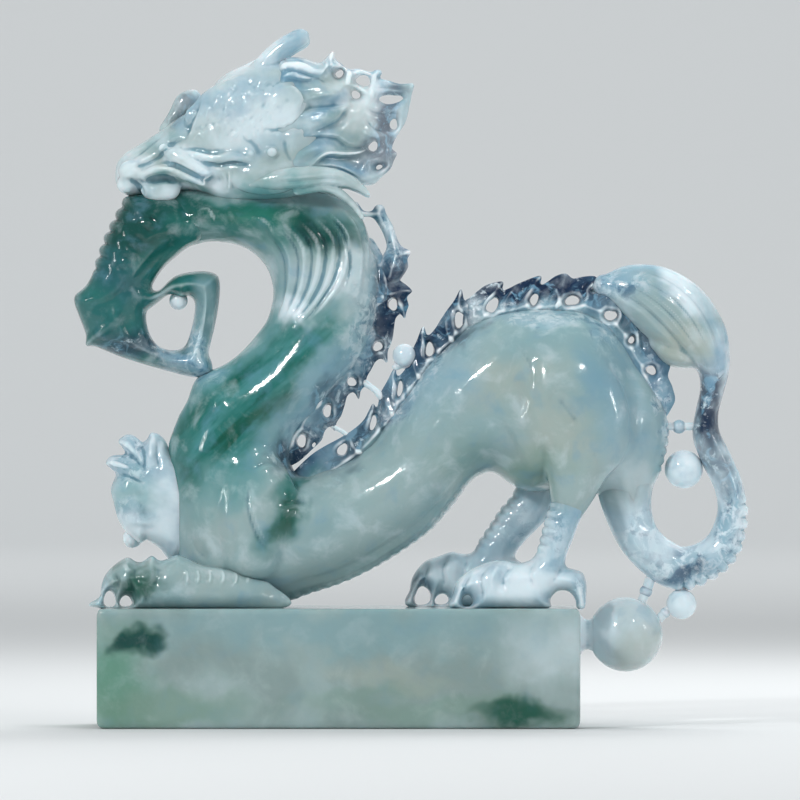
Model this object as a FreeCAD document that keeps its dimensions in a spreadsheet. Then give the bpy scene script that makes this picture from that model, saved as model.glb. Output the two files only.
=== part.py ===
import FreeCAD, Part
import Sketcher
import os

# A jade dragon standing on a plain seal block, carved from one stone. The dragon faces -X, its near side is -Y,
# and the origin is the centre of the block's underside. Every named element of the carving is one solid, and
# neighbours meet face to face. Lengths are millimetres at a carving scale of 1.

Vector = FreeCAD.Vector
Rotation = FreeCAD.Rotation
Placement = FreeCAD.Placement

doc = FreeCAD.newDocument("jade_dragon")
sheet = doc.addObject("Spreadsheet::Sheet", "Sizes")
sizes = {
    "carving_scale": 1.0,
    "block_length": 82.6,
    "block_depth": 33.0,
    "block_height": 20.5,
    "block_corner": 1.6,
    "block_edge": 0.7,
    "large_pearl_radius": 6.4,
    "loop_pearl_radius": 3.3,
    "low_pearl_radius": 2.6,
    "back_pearl_radius": 2.0,
    "scroll_pearl_radius": 1.6,
    "paw_pearl_radius": 1.7,
    "link_radius": 1.1,
    "fin_thickness": 2.6,
    "mane_thickness": 9.0,
    "tuft_thickness": 11.0,
    "fringe_thickness": 3.2,
    "neck_girth": 10.0,
    "torso_girth": 12.0,
    "tail_girth": 5.0,
    "leg_girth": 3.5,
    "claw_girth": 1.3,
    "horn_girth": 2.0,
    "head_girth": 10.0,
}
for row, (alias, value) in enumerate(sizes.items(), start=1):
    sheet.set(f"A{row}", alias)
    sheet.set(f"B{row}", str(value))
    sheet.setAlias(f"B{row}", alias)
doc.recompute()

parts = {}


def scaled(value):
    """A length of the carving, written as an expression that follows the carving scale."""
    return f"{value:g} * Sizes.carving_scale"


def place(thing, x, y, z, rotation=None):
    thing.Placement = Placement(Vector(x, y, z), rotation or Rotation())
    thing.setExpression(".Placement.Base.x", scaled(x))
    thing.setExpression(".Placement.Base.y", scaled(y))
    thing.setExpression(".Placement.Base.z", scaled(z))


def keep(label, thing, cut_by=()):
    """Give a solid its node name, after taking away the neighbours that it only meets."""
    for number, neighbour in enumerate(cut_by, start=1):
        cut = doc.addObject("Part::Cut", f"{label}_less_{number}")
        cut.Base = thing
        cut.Tool = parts[neighbour]
        thing = cut
    thing.Label = label
    parts[label] = thing
    return thing


def ball(label, x, y, z, radius_alias, cut_by=()):
    sphere = doc.addObject("Part::Sphere", f"{label}_sphere")
    sphere.setExpression("Radius", f"Sizes.{radius_alias} * Sizes.carving_scale")
    place(sphere, x, y, z)
    return keep(label, sphere, cut_by)


def section(label, station, tangent, girth_alias):
    """One elliptical section across a run: its half height and half depth are parts of the run's girth."""
    x, y, z, half_height, half_depth = station
    across = Vector(tangent.z, 0, -tangent.x)
    ellipse = doc.addObject("Part::Ellipse", f"{label}_section")
    if half_height >= half_depth:
        turn = Rotation(across, Vector(0, 1, 0), tangent, "ZXY")
        largest, smallest = half_height, half_depth
    else:
        turn = Rotation(Vector(0, 1, 0), -across, tangent, "ZXY")
        largest, smallest = half_depth, half_height
    ellipse.setExpression("MajorRadius", f"{largest:g} * Sizes.{girth_alias} * Sizes.carving_scale")
    ellipse.setExpression("MinorRadius", f"{smallest:g} * Sizes.{girth_alias} * Sizes.carving_scale")
    place(ellipse, x, y, z, turn)
    return ellipse


def loft(label, sections, cut_by=()):
    skin = doc.addObject("Part::Loft", f"{label}_loft")
    skin.Sections = sections
    skin.Solid = True
    return keep(label, skin, cut_by)


def sections_along(label, girth_alias, stations):
    """Elliptical sections square to the line through the stations."""
    sections = []
    for index, station in enumerate(stations):
        before = stations[max(index - 1, 0)]
        after = stations[min(index + 1, len(stations) - 1)]
        tangent = Vector(after[0] - before[0], 0, after[2] - before[2]).normalize()
        sections.append(section(label, station, tangent, girth_alias))
    return sections


def run(label, girth_alias, stations, cut_by=()):
    """A smooth tapering run through its stations: x, y, z, half height and half depth."""
    return loft(label, sections_along(label, girth_alias, stations), cut_by)


def chain(girth_alias, stretches):
    """Runs that follow one another: each starts on the last section of the run before it."""
    stations = []
    spans = []
    for label, own_stations, cut_by in stretches:
        first = max(len(stations) - 1, 0)
        stations += own_stations
        spans.append((label, first, len(stations), cut_by))
    sections = sections_along(spans[0][0], girth_alias, stations)
    for label, first, end, cut_by in spans:
        loft(label, sections[first:end], cut_by)


def plane_of(body, role):
    return next(item for item in body.Origin.OriginFeatures if item.Role == role)


def add_outline(sketch, points):
    for start, end in zip(points, points[1:] + points[:1]):
        sketch.addGeometry(Part.LineSegment(Vector(start[0], start[1], 0), Vector(end[0], end[1], 0)))


def plate(label, thickness_alias, outlines, y=0.0, holes=(), cut_by=()):
    """Flat pierced work: outlines drawn in the XZ plane, thickened equally to both sides, with round holes."""
    body = doc.addObject("PartDesign::Body", f"{label}_body")
    drawing = body.newObject("Sketcher::SketchObject", f"{label}_outline")
    drawing.AttachmentSupport = (plane_of(body, "XZ_Plane"), [""])
    drawing.MapMode = "FlatFace"
    for outline in outlines:
        add_outline(drawing, outline)
    for x, z, radius in holes:
        drawing.addGeometry(Part.Circle(Vector(x, z, 0), Vector(0, 0, 1), radius))
    pad = body.newObject("PartDesign::Pad", f"{label}_pad")
    pad.Profile = drawing
    pad.Midplane = True
    pad.setExpression("Length", f"Sizes.{thickness_alias} * Sizes.carving_scale")
    place(body, 0, y, 0)
    return keep(label, body, cut_by)


def mirrored(stations):
    return [(x, -y, z, high, deep) for x, y, z, high, deep in stations]


# The seal block: a plain rectangular block with softened corners and edges.
def make_block():
    body = doc.addObject("PartDesign::Body", "block_body")
    drawing = body.newObject("Sketcher::SketchObject", "block_outline")
    drawing.AttachmentSupport = (plane_of(body, "XY_Plane"), [""])
    drawing.MapMode = "FlatFace"
    half_length = sizes["block_length"] / 2
    half_depth = sizes["block_depth"] / 2
    corners = [(-half_length, -half_depth), (half_length, -half_depth), (half_length, half_depth),
               (-half_length, half_depth)]
    add_outline(drawing, corners)
    for index in range(4):
        drawing.addConstraint(Sketcher.Constraint("Coincident", index, 2, (index + 1) % 4, 1))
    for index, kind in enumerate(("Horizontal", "Vertical", "Horizontal", "Vertical")):
        drawing.addConstraint(Sketcher.Constraint(kind, index))
    drawing.addConstraint(Sketcher.Constraint("Symmetric", 0, 1, 2, 1, -1, 1))
    length = drawing.addConstraint(Sketcher.Constraint("DistanceX", 0, 1, 0, 2, 2 * half_length))
    depth = drawing.addConstraint(Sketcher.Constraint("DistanceY", 1, 1, 1, 2, 2 * half_depth))
    drawing.setExpression(f"Constraints[{length}]", "Sizes.block_length * Sizes.carving_scale")
    drawing.setExpression(f"Constraints[{depth}]", "Sizes.block_depth * Sizes.carving_scale")
    pad = body.newObject("PartDesign::Pad", "block_pad")
    pad.Profile = drawing
    pad.setExpression("Length", "Sizes.block_height * Sizes.carving_scale")
    doc.recompute()
    upright = []
    for number, edge in enumerate(pad.Shape.Edges, start=1):
        ends = edge.Vertexes
        if abs(ends[0].Z - ends[1].Z) > 1:
            upright.append(f"Edge{number}")
    corner = body.newObject("PartDesign::Fillet", "block_corners")
    corner.Base = (pad, upright)
    corner.setExpression("Radius", "Sizes.block_corner * Sizes.carving_scale")
    doc.recompute()
    rims = []
    for number, face in enumerate(corner.Shape.Faces, start=1):
        if abs(face.normalAt(0, 0).z) > 0.9:
            rims.append(f"Face{number}")
    edge = body.newObject("PartDesign::Fillet", "block_edges")
    edge.Base = (corner, rims)
    edge.setExpression("Radius", "Sizes.block_edge * Sizes.carving_scale")
    keep("seal_block", body)


# Torso, chest and neck: one S through the shoulder. From the throat the same line goes on as the scroll,
# which falls from the jaw, turns back to touch the chest, rises and curls round a small pearl.
def make_trunk():
    run("torso", "torso_girth", [
        (-20, 0, 36.5, 0.55, 0.50), (-12, 0, 35.5, 0.90, 0.84), (-3, 0, 34.5, 0.92, 0.88), (6.5, 0, 38.2, 0.76, 0.84),
        (13, 0, 44.8, 0.82, 0.86), (20, 0, 53.6, 1.02, 0.92), (27, 0, 57.2, 1.28, 1.00), (35, 0, 58, 1.36, 1.04),
        (42, 0, 58, 1.34, 1.04), (49, 0, 57.4, 1.16, 0.90), (55, 0, 56, 0.60, 0.50)], ["seal_block"])
    chain("neck_girth", [
        ("chest", [(-10, 0, 24, 0.60, 0.60), (-14, 0, 30, 1.08, 1.00), (-17.5, 0, 38.5, 1.12, 1.05),
                   (-18, 0, 47, 1.10, 1.02), (-14.6, 0, 53.4, 1.06, 0.98)], ["seal_block", "torso"]),
        ("lower_neck", [(-8.6, 0, 59.4, 0.98, 0.94), (-4, 0, 65.4, 0.94, 0.92), (-2, 0, 72, 0.94, 0.90)], ["torso"]),
        ("upper_neck", [(-3, 0, 78.4, 0.88, 0.88), (-6.4, 0, 83.8, 0.76, 0.86), (-12, 0, 86.6, 0.52, 0.84)], []),
        ("throat", [(-19, 0, 87.2, 0.42, 0.80), (-25.5, 0, 86, 0.46, 0.72)], []),
        ("scroll_fall", [(-31.4, 0, 82.6, 0.50, 0.66), (-35.6, 0, 77.8, 0.58, 0.62), (-38.4, 0, 72.6, 0.62, 0.58)], []),
        ("scroll_bend", [(-39.4, 0, 68.4, 0.40, 0.54), (-37, 0, 65.8, 0.30, 0.50)], []),
        ("scroll_sill", [(-32, 0, 63.8, 0.24, 0.44), (-27, 0, 62.6, 0.22, 0.40), (-23.6, 0, 63.8, 0.20, 0.38)],
         ["scroll_fall", "chest", "lower_neck"]),
        ("scroll_rise", [(-23.2, 0, 68, 0.20, 0.36), (-22.7, 0, 72.6, 0.20, 0.36), (-23.6, 0, 75.8, 0.19, 0.35)], []),
        ("scroll_curl", [(-26.4, 0, 76.2, 0.16, 0.34), (-29.8, 0, 74.4, 0.14, 0.30), (-32.6, 0, 72.4, 0.12, 0.26)],
         ["scroll_fall"])])
    ball("scroll_pearl", -27.6, 0, 73.2, "scroll_pearl_radius", ["scroll_curl"])
    haunch = [(34, -8.5, 61, 0.40, 0.26), (38, -9, 57, 0.92, 0.42), (41, -9, 50, 0.88, 0.42),
              (41.5, -8.5, 44, 0.52, 0.36)]
    run("near_haunch", "torso_girth", haunch, ["torso"])
    run("far_haunch", "torso_girth", mirrored(haunch), ["torso"])


# The head: skull and snout over a separate jaw, with horns, ears, brow crest and swept-back mane.
def make_head():
    chain("head_girth", [
        ("snout", [(-38.4, 0, 94.8, 0.18, 0.34), (-35.4, 0, 95.3, 0.40, 0.54), (-30, 0, 97.2, 0.58, 0.62),
                   (-25, 0, 99.4, 0.74, 0.70)], []),
        ("skull", [(-19, 0, 101.6, 0.98, 0.90), (-12, 0, 103.2, 1.12, 1.00), (-5, 0, 103.6, 1.10, 1.06)],
         ["upper_neck"]),
        ("mane_core", [(0, 0, 103.4, 1.00, 1.14), (5, 0, 104, 0.80, 0.96), (8.4, 0, 104.8, 0.50, 0.66)],
         ["upper_neck"])])
    run("lower_jaw", "head_girth", [
        (-12, 0, 90.6, 0.30, 0.74), (-20, 0, 90.4, 0.30, 0.66), (-28, 0, 89.8, 0.26, 0.52), (-33.4, 0, 89.8, 0.12, 0.34)],
        ["skull", "snout", "upper_neck", "throat", "scroll_fall"])
    run("brow_crest", "horn_girth", [
        (-26.5, 0, 102, 1.4, 1.5), (-26.3, 0, 105.5, 1.2, 1.2), (-25.7, 0, 108.8, 0.9, 0.9)], ["skull", "snout"])
    horn = [(-16, -4.6, 110.5, 1.5, 1.4), (-12, -5, 114.4, 1.3, 1.2), (-8.6, -5.2, 117, 1.1, 1.1),
            (-5.6, -5.4, 118.9, 0.8, 0.9)]
    run("near_horn", "horn_girth", horn, ["skull"])
    run("far_horn", "horn_girth", mirrored(horn), ["skull"])
    ear = [(-11, -9.4, 103.5, 1.2, 0.7), (-8, -10.4, 106, 1.5, 0.8), (-5.6, -11, 109, 0.8, 0.5)]
    run("near_ear", "horn_girth", ear, ["skull"])
    run("far_ear", "horn_girth", mirrored(ear), ["skull"])
    plate("mane_upper_locks", "mane_thickness", [[
        (-6, 114.9), (-3.4, 114.2), (-1, 115.7), (0.8, 113.2), (7.3, 112.2), (7.4, 110.8), (12.6, 110.2), (12.2, 107),
        (6, 105), (-4, 106)]], holes=[(4.2, 110.2, 0.8), (8.9, 107.8, 0.8)], cut_by=["mane_core", "skull"])
    plate("mane_lower_locks", "mane_thickness", [[
        (6, 105), (12.2, 107), (9.5, 101), (8.8, 98.8), (9.8, 98.3), (8.8, 95.8), (5, 91.6), (-4, 94), (-4, 99)]],
        holes=[(9.2, 103.4, 0.7), (6.6, 96.4, 0.6)], cut_by=["mane_upper_locks", "mane_core", "skull"])
    jowl = [(-13, -8, 92.6, 0.18, 0.20), (-5, -9.4, 94.4, 0.24, 0.24), (2, -8, 93.4, 0.16, 0.18),
            (5, -7, 91.6, 0.07, 0.10)]
    run("near_jowl_lock", "head_girth", jowl, ["skull", "upper_neck", "mane_core", "mane_lower_locks"])
    run("far_jowl_lock", "head_girth", mirrored(jowl), ["skull", "upper_neck", "mane_core", "mane_lower_locks"])


# Pierced flames: the nape curl, the crest down the back of the neck and the fins along the back.
def make_flames():
    plate("nape_crest", "fin_thickness", [
        [(5, 79.6), (8.5, 80.4), (11.8, 78.6), (12, 75), (11.2, 70.6), (9.8, 68.6), (8.6, 66.4), (5.4, 66), (6.2, 72)]],
        holes=[(9.2, 72.6, 0.9)], cut_by=["upper_neck", "lower_neck"])
    run("nape_curl", "link_radius", [
        (4.6, 0, 87.6, 1.1, 1.5), (8.2, 0, 86.8, 1.1, 1.5), (10.4, 0, 83.4, 1.2, 1.5), (10.4, 0, 79.4, 1.5, 1.5)],
        ["upper_neck", "nape_crest"])
    plate("shoulder_crest", "fin_thickness", [
        [(5.4, 66), (8.6, 66.4), (8, 62.9), (6, 62), (4.8, 58.9), (3.4, 56.8), (2, 55.4), (-0.7, 51), (-3, 49),
         (-6, 46.6), (-4.6, 50), (-1.6, 53.4), (1.4, 57.6), (4, 62)]],
        holes=[(7.1, 64.3, 0.5)], cut_by=["lower_neck", "chest"])
    fins = [
        ("shoulder_fins", [(2, 45), (1, 48.4), (4.4, 51.6), (4.8, 54.6), (7.6, 55.6), (7.8, 58.6), (9.8, 61), (12, 62.4),
                           (12, 60), (6, 50)], []),
        ("back_fins", [(12, 60), (12, 62.8), (14.5, 68), (17.5, 69.4), (21, 74.5), (24, 73.8), (28, 76), (30, 75),
                       (30, 72), (21, 69)], [(20.9, 72, 0.6)]),
        ("rump_fins", [(30, 72), (30, 75), (34.5, 77), (37, 75.6), (43, 77.5), (46, 75.6), (47.6, 74), (46, 72)],
         [(40.4, 75.4, 0.6)]),
    ]
    for label, outline, holes in fins:
        plate(label, "fin_thickness", [outline], holes=holes, cut_by=["torso"])


# The tail leaves the rump low, loops down and right, climbs, and ends in a broad tuft over the rump.
def make_tail():
    chain("tail_girth", [
        ("tail_root", [(46.6, 0, 47.6, 1.60, 1.50), (48.8, 0, 40.6, 1.05, 1.10), (51, 0, 34.6, 0.82, 0.95),
                       (54, 0, 29.4, 0.72, 0.88)], ["torso"]),
        ("tail_bend", [(59.4, 0, 27.8, 0.62, 0.84), (63.8, 0, 29.8, 0.62, 0.84), (66.2, 0, 33.8, 0.52, 0.82)], []),
        ("tail_rise", [(66.6, 0, 39, 0.48, 0.80), (65.6, 0, 44.6, 0.50, 0.76), (63.2, 0, 50.6, 0.50, 0.76),
                       (64, 0, 56.4, 0.44, 0.80)], []),
        ("tail_top", [(64.4, 0, 62, 0.50, 1.00), (61.8, 0, 68.4, 0.80, 1.25), (56.8, 0, 73.4, 1.10, 1.40),
                      (50.6, 0, 75.8, 0.80, 1.10)], ["torso"])])
    plate("tail_tuft", "tuft_thickness", [[
        (44, 77), (48.8, 78.8), (52, 80.2), (60, 77.2), (65, 70), (66, 64), (62, 61.6), (58, 62.4), (57.4, 65),
        (54, 69.2), (50, 72.8), (46, 75)]], holes=[(60, 64.4, 0.6)], cut_by=["tail_top", "rump_fins"])
    plate("tail_fringe", "fringe_thickness", [[
        (57, 25.6), (58, 23.4), (61, 23.8), (61.8, 24.5), (64.5, 25.4), (65.6, 26.5), (68.5, 29), (68.7, 30.6),
        (70.2, 34), (69.5, 36.4), (69.9, 39.4), (68.2, 40.6), (67.2, 34), (64.6, 29), (60, 26.6)]],
        cut_by=["tail_bend", "tail_rise"])


# Legs and feet.
def make_legs():
    near_fore = [(-12, -8, 25, 0.80, 1.30), (-20, -9, 24.6, 1.10, 1.50), (-28, -9.4, 24.9, 1.18, 1.50),
                 (-34, -9.4, 24.9, 1.10, 1.50)]
    run("near_foreleg", "leg_girth", near_fore, ["seal_block", "torso", "chest"])
    toes = [(-33.4, -9.4, 25.2, 1.00, 1.60), (-37, -9.4, 24.4, 1.00, 1.60), (-40, -9.4, 23.4, 0.60, 1.20)]
    run("near_forefoot", "leg_girth", toes, ["seal_block", "near_foreleg"])
    run("far_foreleg", "leg_girth", [
        (-24, 6, 31, 1.20, 1.20), (-29, 6, 32, 1.00, 1.10), (-33.2, 5.6, 35.4, 1.00, 1.10), (-34.6, 5, 39.6, 1.10, 1.20)],
        ["chest", "near_foreleg", "torso"])
    run("raised_paw", "leg_girth", [
        (-34.4, 5, 39, 1.10, 1.25), (-34, 4.6, 43, 1.36, 1.40), (-33.4, 4.4, 47, 1.10, 1.20)],
        ["far_foreleg", "chest"])
    claws = [("front", (-37.4, 1, 45), (-39.4, 1, 45.8)), ("middle", (-36, 4.4, 46.6), (-36, 4.4, 49.8)),
             ("rear", (-32.4, 7.4, 46.6), (-32, 7.4, 50))]
    for name, root, tip in claws:
        run(f"raised_{name}_claw", "claw_girth", [
            (*root, 1.2, 1.2), ((root[0] + tip[0]) / 2, root[1], (root[2] + tip[2]) / 2 + 0.2, 0.9, 0.9),
            (*tip, 0.4, 0.4)], ["raised_paw"])
    ball("paw_pearl", -35.4, 5, 32.3, "paw_pearl_radius", ["far_foreleg"])
    run("near_hind_leg", "leg_girth", [
        (41, -8.5, 44, 1.20, 1.30), (39.6, -9, 38.6, 0.92, 1.10), (37.6, -9.2, 33, 0.80, 1.00),
        (36.2, -9.2, 28.4, 0.80, 1.00)], ["torso", "near_haunch"])
    run("far_hind_leg", "leg_girth", [
        (36, 8.5, 44, 1.30, 1.30), (33, 8.8, 39, 1.10, 1.15), (30, 9, 34, 0.94, 1.05), (26.8, 9, 29.4, 0.90, 1.05)],
        ["torso", "far_haunch"])
    run("near_hind_foot", "leg_girth", [
        (41.6, -9.2, 23.6, 0.60, 0.80), (36.6, -9.2, 25.2, 1.10, 1.30), (30, -9.2, 24.6, 1.05, 1.40),
        (24, -9.2, 23.4, 0.80, 1.20)], ["seal_block", "near_hind_leg"])
    run("far_hind_foot", "leg_girth", [
        (30, 8.6, 24.6, 0.90, 1.10), (24.6, 8.6, 25.6, 1.20, 1.40), (18, 8.6, 25.6, 1.15, 1.40),
        (13.4, 8.6, 23.6, 0.70, 1.10)], ["seal_block", "far_hind_leg"])


# Pearls and the little links that the carver left between tail, rump and block.
def make_pearls():
    ball("large_pearl", 49.3, 0, 15.8, "large_pearl_radius", ["seal_block"])
    ball("loop_pearl", 59.3, 0, 44.2, "loop_pearl_radius", ["tail_root", "tail_rise"])
    ball("low_pearl", 58.9, 0, 21.0, "low_pearl_radius", ["tail_bend", "tail_fringe"])
    ball("back_pearl", 11.2, 0, 63.8, "back_pearl_radius", ["torso", "shoulder_fins", "back_fins"])
    links = [("tail_link", 52.8, 23.2, ["large_pearl", "tail_root"]), ("pearl_link", 56.1, 19.4, ["large_pearl",
             "low_pearl"]), ("rump_link", 58.4, 51.5, ["torso", "tail_rise"])]
    for label, x, z, neighbours in links:
        ball(label, x, 0, z, "link_radius", neighbours)


def write_parts():
    doc.recompute()
    for thing in doc.Objects:
        if "Invalid" in thing.State or "Error" in thing.State:
            raise RuntimeError(f"{thing.Label} failed: {thing.State}")
    for label, thing in parts.items():
        if thing.Shape.isNull() or not thing.Shape.isValid():
            raise RuntimeError(f"{label} has no valid shape")
    os.makedirs("parts", exist_ok=True)
    for label, thing in parts.items():
        thing.Shape.exportStep(f"parts/{label}.step")
    print(len(parts), "parts written")


make_block()
make_trunk()
make_head()
make_flames()
make_tail()
make_legs()
make_pearls()
write_parts()
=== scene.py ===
import math

import bmesh
import bpy
import numpy as np
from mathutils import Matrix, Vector


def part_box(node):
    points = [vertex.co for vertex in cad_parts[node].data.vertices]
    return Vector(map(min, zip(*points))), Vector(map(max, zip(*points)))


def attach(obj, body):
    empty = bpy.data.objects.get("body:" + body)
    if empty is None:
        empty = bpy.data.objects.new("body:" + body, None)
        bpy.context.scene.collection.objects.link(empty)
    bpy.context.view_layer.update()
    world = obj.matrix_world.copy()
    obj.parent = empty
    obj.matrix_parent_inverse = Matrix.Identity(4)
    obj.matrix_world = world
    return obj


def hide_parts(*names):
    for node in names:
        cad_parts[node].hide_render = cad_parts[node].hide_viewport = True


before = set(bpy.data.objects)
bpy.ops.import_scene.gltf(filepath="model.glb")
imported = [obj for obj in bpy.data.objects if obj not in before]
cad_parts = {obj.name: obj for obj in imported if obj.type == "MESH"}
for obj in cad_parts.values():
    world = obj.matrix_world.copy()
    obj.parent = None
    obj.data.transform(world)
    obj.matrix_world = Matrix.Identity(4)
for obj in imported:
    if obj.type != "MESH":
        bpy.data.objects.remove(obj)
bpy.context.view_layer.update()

mm = 0.001
scene = bpy.context.scene


def makeActive(piece, *others):
    bpy.ops.object.select_all(action="DESELECT")
    for one in (piece, *others):
        one.select_set(True)
    bpy.context.view_layer.objects.active = piece


def addMesh(name, corners, faces):  # corners in millimetres
    mesh = bpy.data.meshes.new(name)
    mesh.from_pydata([tuple(c * mm for c in corner) for corner in corners], [], faces)
    piece = bpy.data.objects.new(name, mesh)
    scene.collection.objects.link(piece)
    return piece


def applyModifier(piece, name, kind, **settings):
    makeActive(piece)
    modifier = piece.modifiers.new(name, kind)
    for key, value in settings.items():
        setattr(modifier, key, value)
    bpy.ops.object.modifier_apply(modifier=modifier.name)


# rows of numbers eased through every row given, about one step apart along x, y, z
def easedLine(rows, step, closed=False):
    rows = np.array(rows, float)
    if closed:
        ends = np.vstack([rows[-1:], rows, rows[:2]])
    else:
        ends = np.vstack([2 * rows[0] - rows[1], rows, 2 * rows[-1] - rows[-2]])
    out = []
    for i in range(len(ends) - 3):
        a, b, c, d = ends[i:i + 4]
        count = max(2, int(round(np.linalg.norm(c[:3] - b[:3]) / step)))
        for t in np.arange(count) / count:
            out.append(0.5 * (2 * b + (c - a) * t + (2 * a - 5 * b + 4 * c - d) * t * t
                              + (3 * b - a - 3 * c + d) * t ** 3))
    if not closed:
        out.append(rows[-1])
    return np.array(out)


# the same for points in x, z
def easedPath(points, step=1.0, closed=False):
    return easedLine([(x, 0, z) for x, z in points], step, closed)[:, [0, 2]]


# a pierced hole's outline; the swell stands for drilling and filing by hand
def ellipse(x, z, wide, high, lean=0, count=18):
    points = []
    tilt = math.radians(lean)
    for k in range(count):
        turn = 2 * math.pi * k / count
        swell = 1 + 0.13 * math.sin(2 * turn + x) + 0.09 * math.sin(3 * turn + z)
        across, up = wide / 2 * swell * math.cos(turn), high / 2 * swell * math.sin(turn)
        points.append((x + across * math.cos(tilt) - up * math.sin(tilt),
                       z + across * math.sin(tilt) + up * math.cos(tilt)))
    return points


# a round limb through stations of x, y, z, half height and half depth, closed by round ends
def limb(name, stations, sides=24, step=0.8):
    slimmest = 0.15
    line = easedLine(stations, step)
    centres, highs, deeps = line[:, :3], np.maximum(line[:, 3], slimmest), np.maximum(line[:, 4], slimmest)
    tangents = np.gradient(centres, axis=0)
    tangents /= np.linalg.norm(tangents, axis=1)[:, None]
    rings = []
    capAngles = (28, 55, 80)
    for angle in capAngles[::-1]:
        rings.append((0, -math.sin(math.radians(angle)), math.cos(math.radians(angle))))
    rings += [(i, 0, 1) for i in range(len(line))]
    for angle in capAngles:
        rings.append((len(line) - 1, math.sin(math.radians(angle)), math.cos(math.radians(angle))))
    corners = []
    for i, reach, width in rings:
        tangent = tangents[i]
        up = np.cross(tangent, (0, 1, 0))
        up /= max(np.linalg.norm(up), 1e-6)
        side = np.cross(tangent, up)
        middle = centres[i] + tangent * reach * min(highs[i], deeps[i])
        for k in range(sides):
            turn = 2 * math.pi * k / sides
            c, s = math.cos(turn), math.sin(turn)
            corners.append(middle + up * (c * highs[i] * width) + side * (s * deeps[i] * width))
    faces = []
    for r in range(len(rings) - 1):
        for k in range(sides):
            a, b = r * sides + k, r * sides + (k + 1) % sides
            faces.append((a, b, b + sides, a + sides))
    faces.append(tuple(range(sides))[::-1])
    faces.append(tuple(range((len(rings) - 1) * sides, len(rings) * sides)))
    piece = addMesh(name, corners, faces)
    outwards(piece)
    return piece


def outwards(piece):
    shape = bmesh.new()
    shape.from_mesh(piece.data)
    bmesh.ops.recalc_face_normals(shape, faces=shape.faces)
    shape.to_mesh(piece.data)
    shape.free()


def ball(name, centre, radii, rings=16):
    radii = (radii,) * 3 if isinstance(radii, (int, float)) else radii
    bpy.ops.object.select_all(action="DESELECT")
    bpy.ops.mesh.primitive_uv_sphere_add(segments=2 * rings, ring_count=rings, radius=1)
    piece = bpy.context.object
    piece.name = piece.data.name = name
    for corner in piece.data.vertices:
        corner.co = Vector((c + r * v for c, r, v in zip(centre, radii, corner.co))) * mm
    return piece


# a flat plate from an outline in x, z with holes, thickened about y
def plate(name, outline, thickness, holes=()):
    shape = bmesh.new()
    edges = []
    for loop in (outline, *holes):
        corners = [shape.verts.new((x * mm, -thickness / 2 * mm, z * mm)) for x, z in loop]
        edges += [shape.edges.new((corners[i], corners[(i + 1) % len(loop)])) for i in range(len(loop))]
    bmesh.ops.triangle_fill(shape, use_beauty=True, edges=edges)
    grown = bmesh.ops.extrude_face_region(shape, geom=shape.faces[:])
    for thing in grown["geom"]:
        if isinstance(thing, bmesh.types.BMVert):
            thing.co.y += thickness * mm
    bmesh.ops.recalc_face_normals(shape, faces=shape.faces)
    mesh = bpy.data.meshes.new(name)
    shape.to_mesh(mesh)
    shape.free()
    piece = bpy.data.objects.new(name, mesh)
    scene.collection.objects.link(piece)
    return piece


def rub(piece, times):
    if times:
        applyModifier(piece, "rub", "SMOOTH", factor=0.5, iterations=times)


# joins blanks into one skin, as clay is blended before it is detailed
def fuse(name, blanks, voxel, rubs):
    makeActive(*blanks)
    if len(blanks) > 1:
        bpy.ops.object.join()
    piece = bpy.context.object
    piece.name = piece.data.name = name
    applyModifier(piece, "skin", "REMESH", mode="VOXEL", voxel_size=voxel * mm)
    rub(piece, rubs)
    return piece


# a carved slab: pierced, pillowed, and rounded to a thin edge over the rim's width
def relief(name, outline, holes, voxel, rim, halfDepth, thinnest=0.3, step=0.7, middle=0.0, steepness=0.5):
    holeStep, blankDepth, blankRubs = 0.4, 2.0, 2
    outline = easedPath(outline, step, True)
    holes = [easedPath(hole, holeStep, True) for hole in holes]
    piece = fuse(name, [plate("slabBlank", outline, blankDepth, holes)], voxel, blankRubs)
    places, _ = readShape(piece)
    flat = places[:, [0, 2]]
    edge = alongLine(flat, np.vstack([outline, outline[:1]]))[0]
    nearest = edge
    for hole in holes:
        nearest = np.minimum(nearest, alongLine(flat, np.vstack([hole, hole[:1]]))[0])
    rise = np.clip(nearest / rim, 0, 1)
    full = halfDepth(places[:, 0], places[:, 2], edge)
    half = thinnest + (full - thinnest) * (1 - (1 - rise) ** 2) ** steepness
    places[:, 1] = middle + np.clip(places[:, 1], -1, 1) * half
    writeShape(piece, places)
    return piece


def readShape(piece):
    count = len(piece.data.vertices)
    places = np.empty(count * 3)
    normals = np.empty(count * 3)
    piece.data.vertices.foreach_get("co", places)
    piece.data.vertices.foreach_get("normal", normals)
    return places.reshape(-1, 3) / mm, normals.reshape(-1, 3)


def writeShape(piece, places):
    piece.data.vertices.foreach_set("co", (places * mm).ravel())
    piece.data.update()


# distance from x, z points to a line, and how far along the line the nearest place is
def alongLine(points, line):
    line = np.array(line, float)
    best = np.full(len(points), 1e9)
    place = np.zeros(len(points))
    sideways = np.zeros(len(points))
    run = 0.0
    for a, b in zip(line[:-1], line[1:]):
        step = b - a
        length = max(np.hypot(*step), 1e-9)
        t = np.clip(((points - a) @ step) / length ** 2, 0, 1)
        gap = points - (a + t[:, None] * step)
        far = np.hypot(gap[:, 0], gap[:, 1])
        nearer = far < best
        best = np.where(nearer, far, best)
        place = np.where(nearer, run + t * length, place)
        sideways = np.where(nearer, (step[0] * gap[:, 1] - step[1] * gap[:, 0]) / length, sideways)
        run += length
    return best, place, sideways, run


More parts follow.
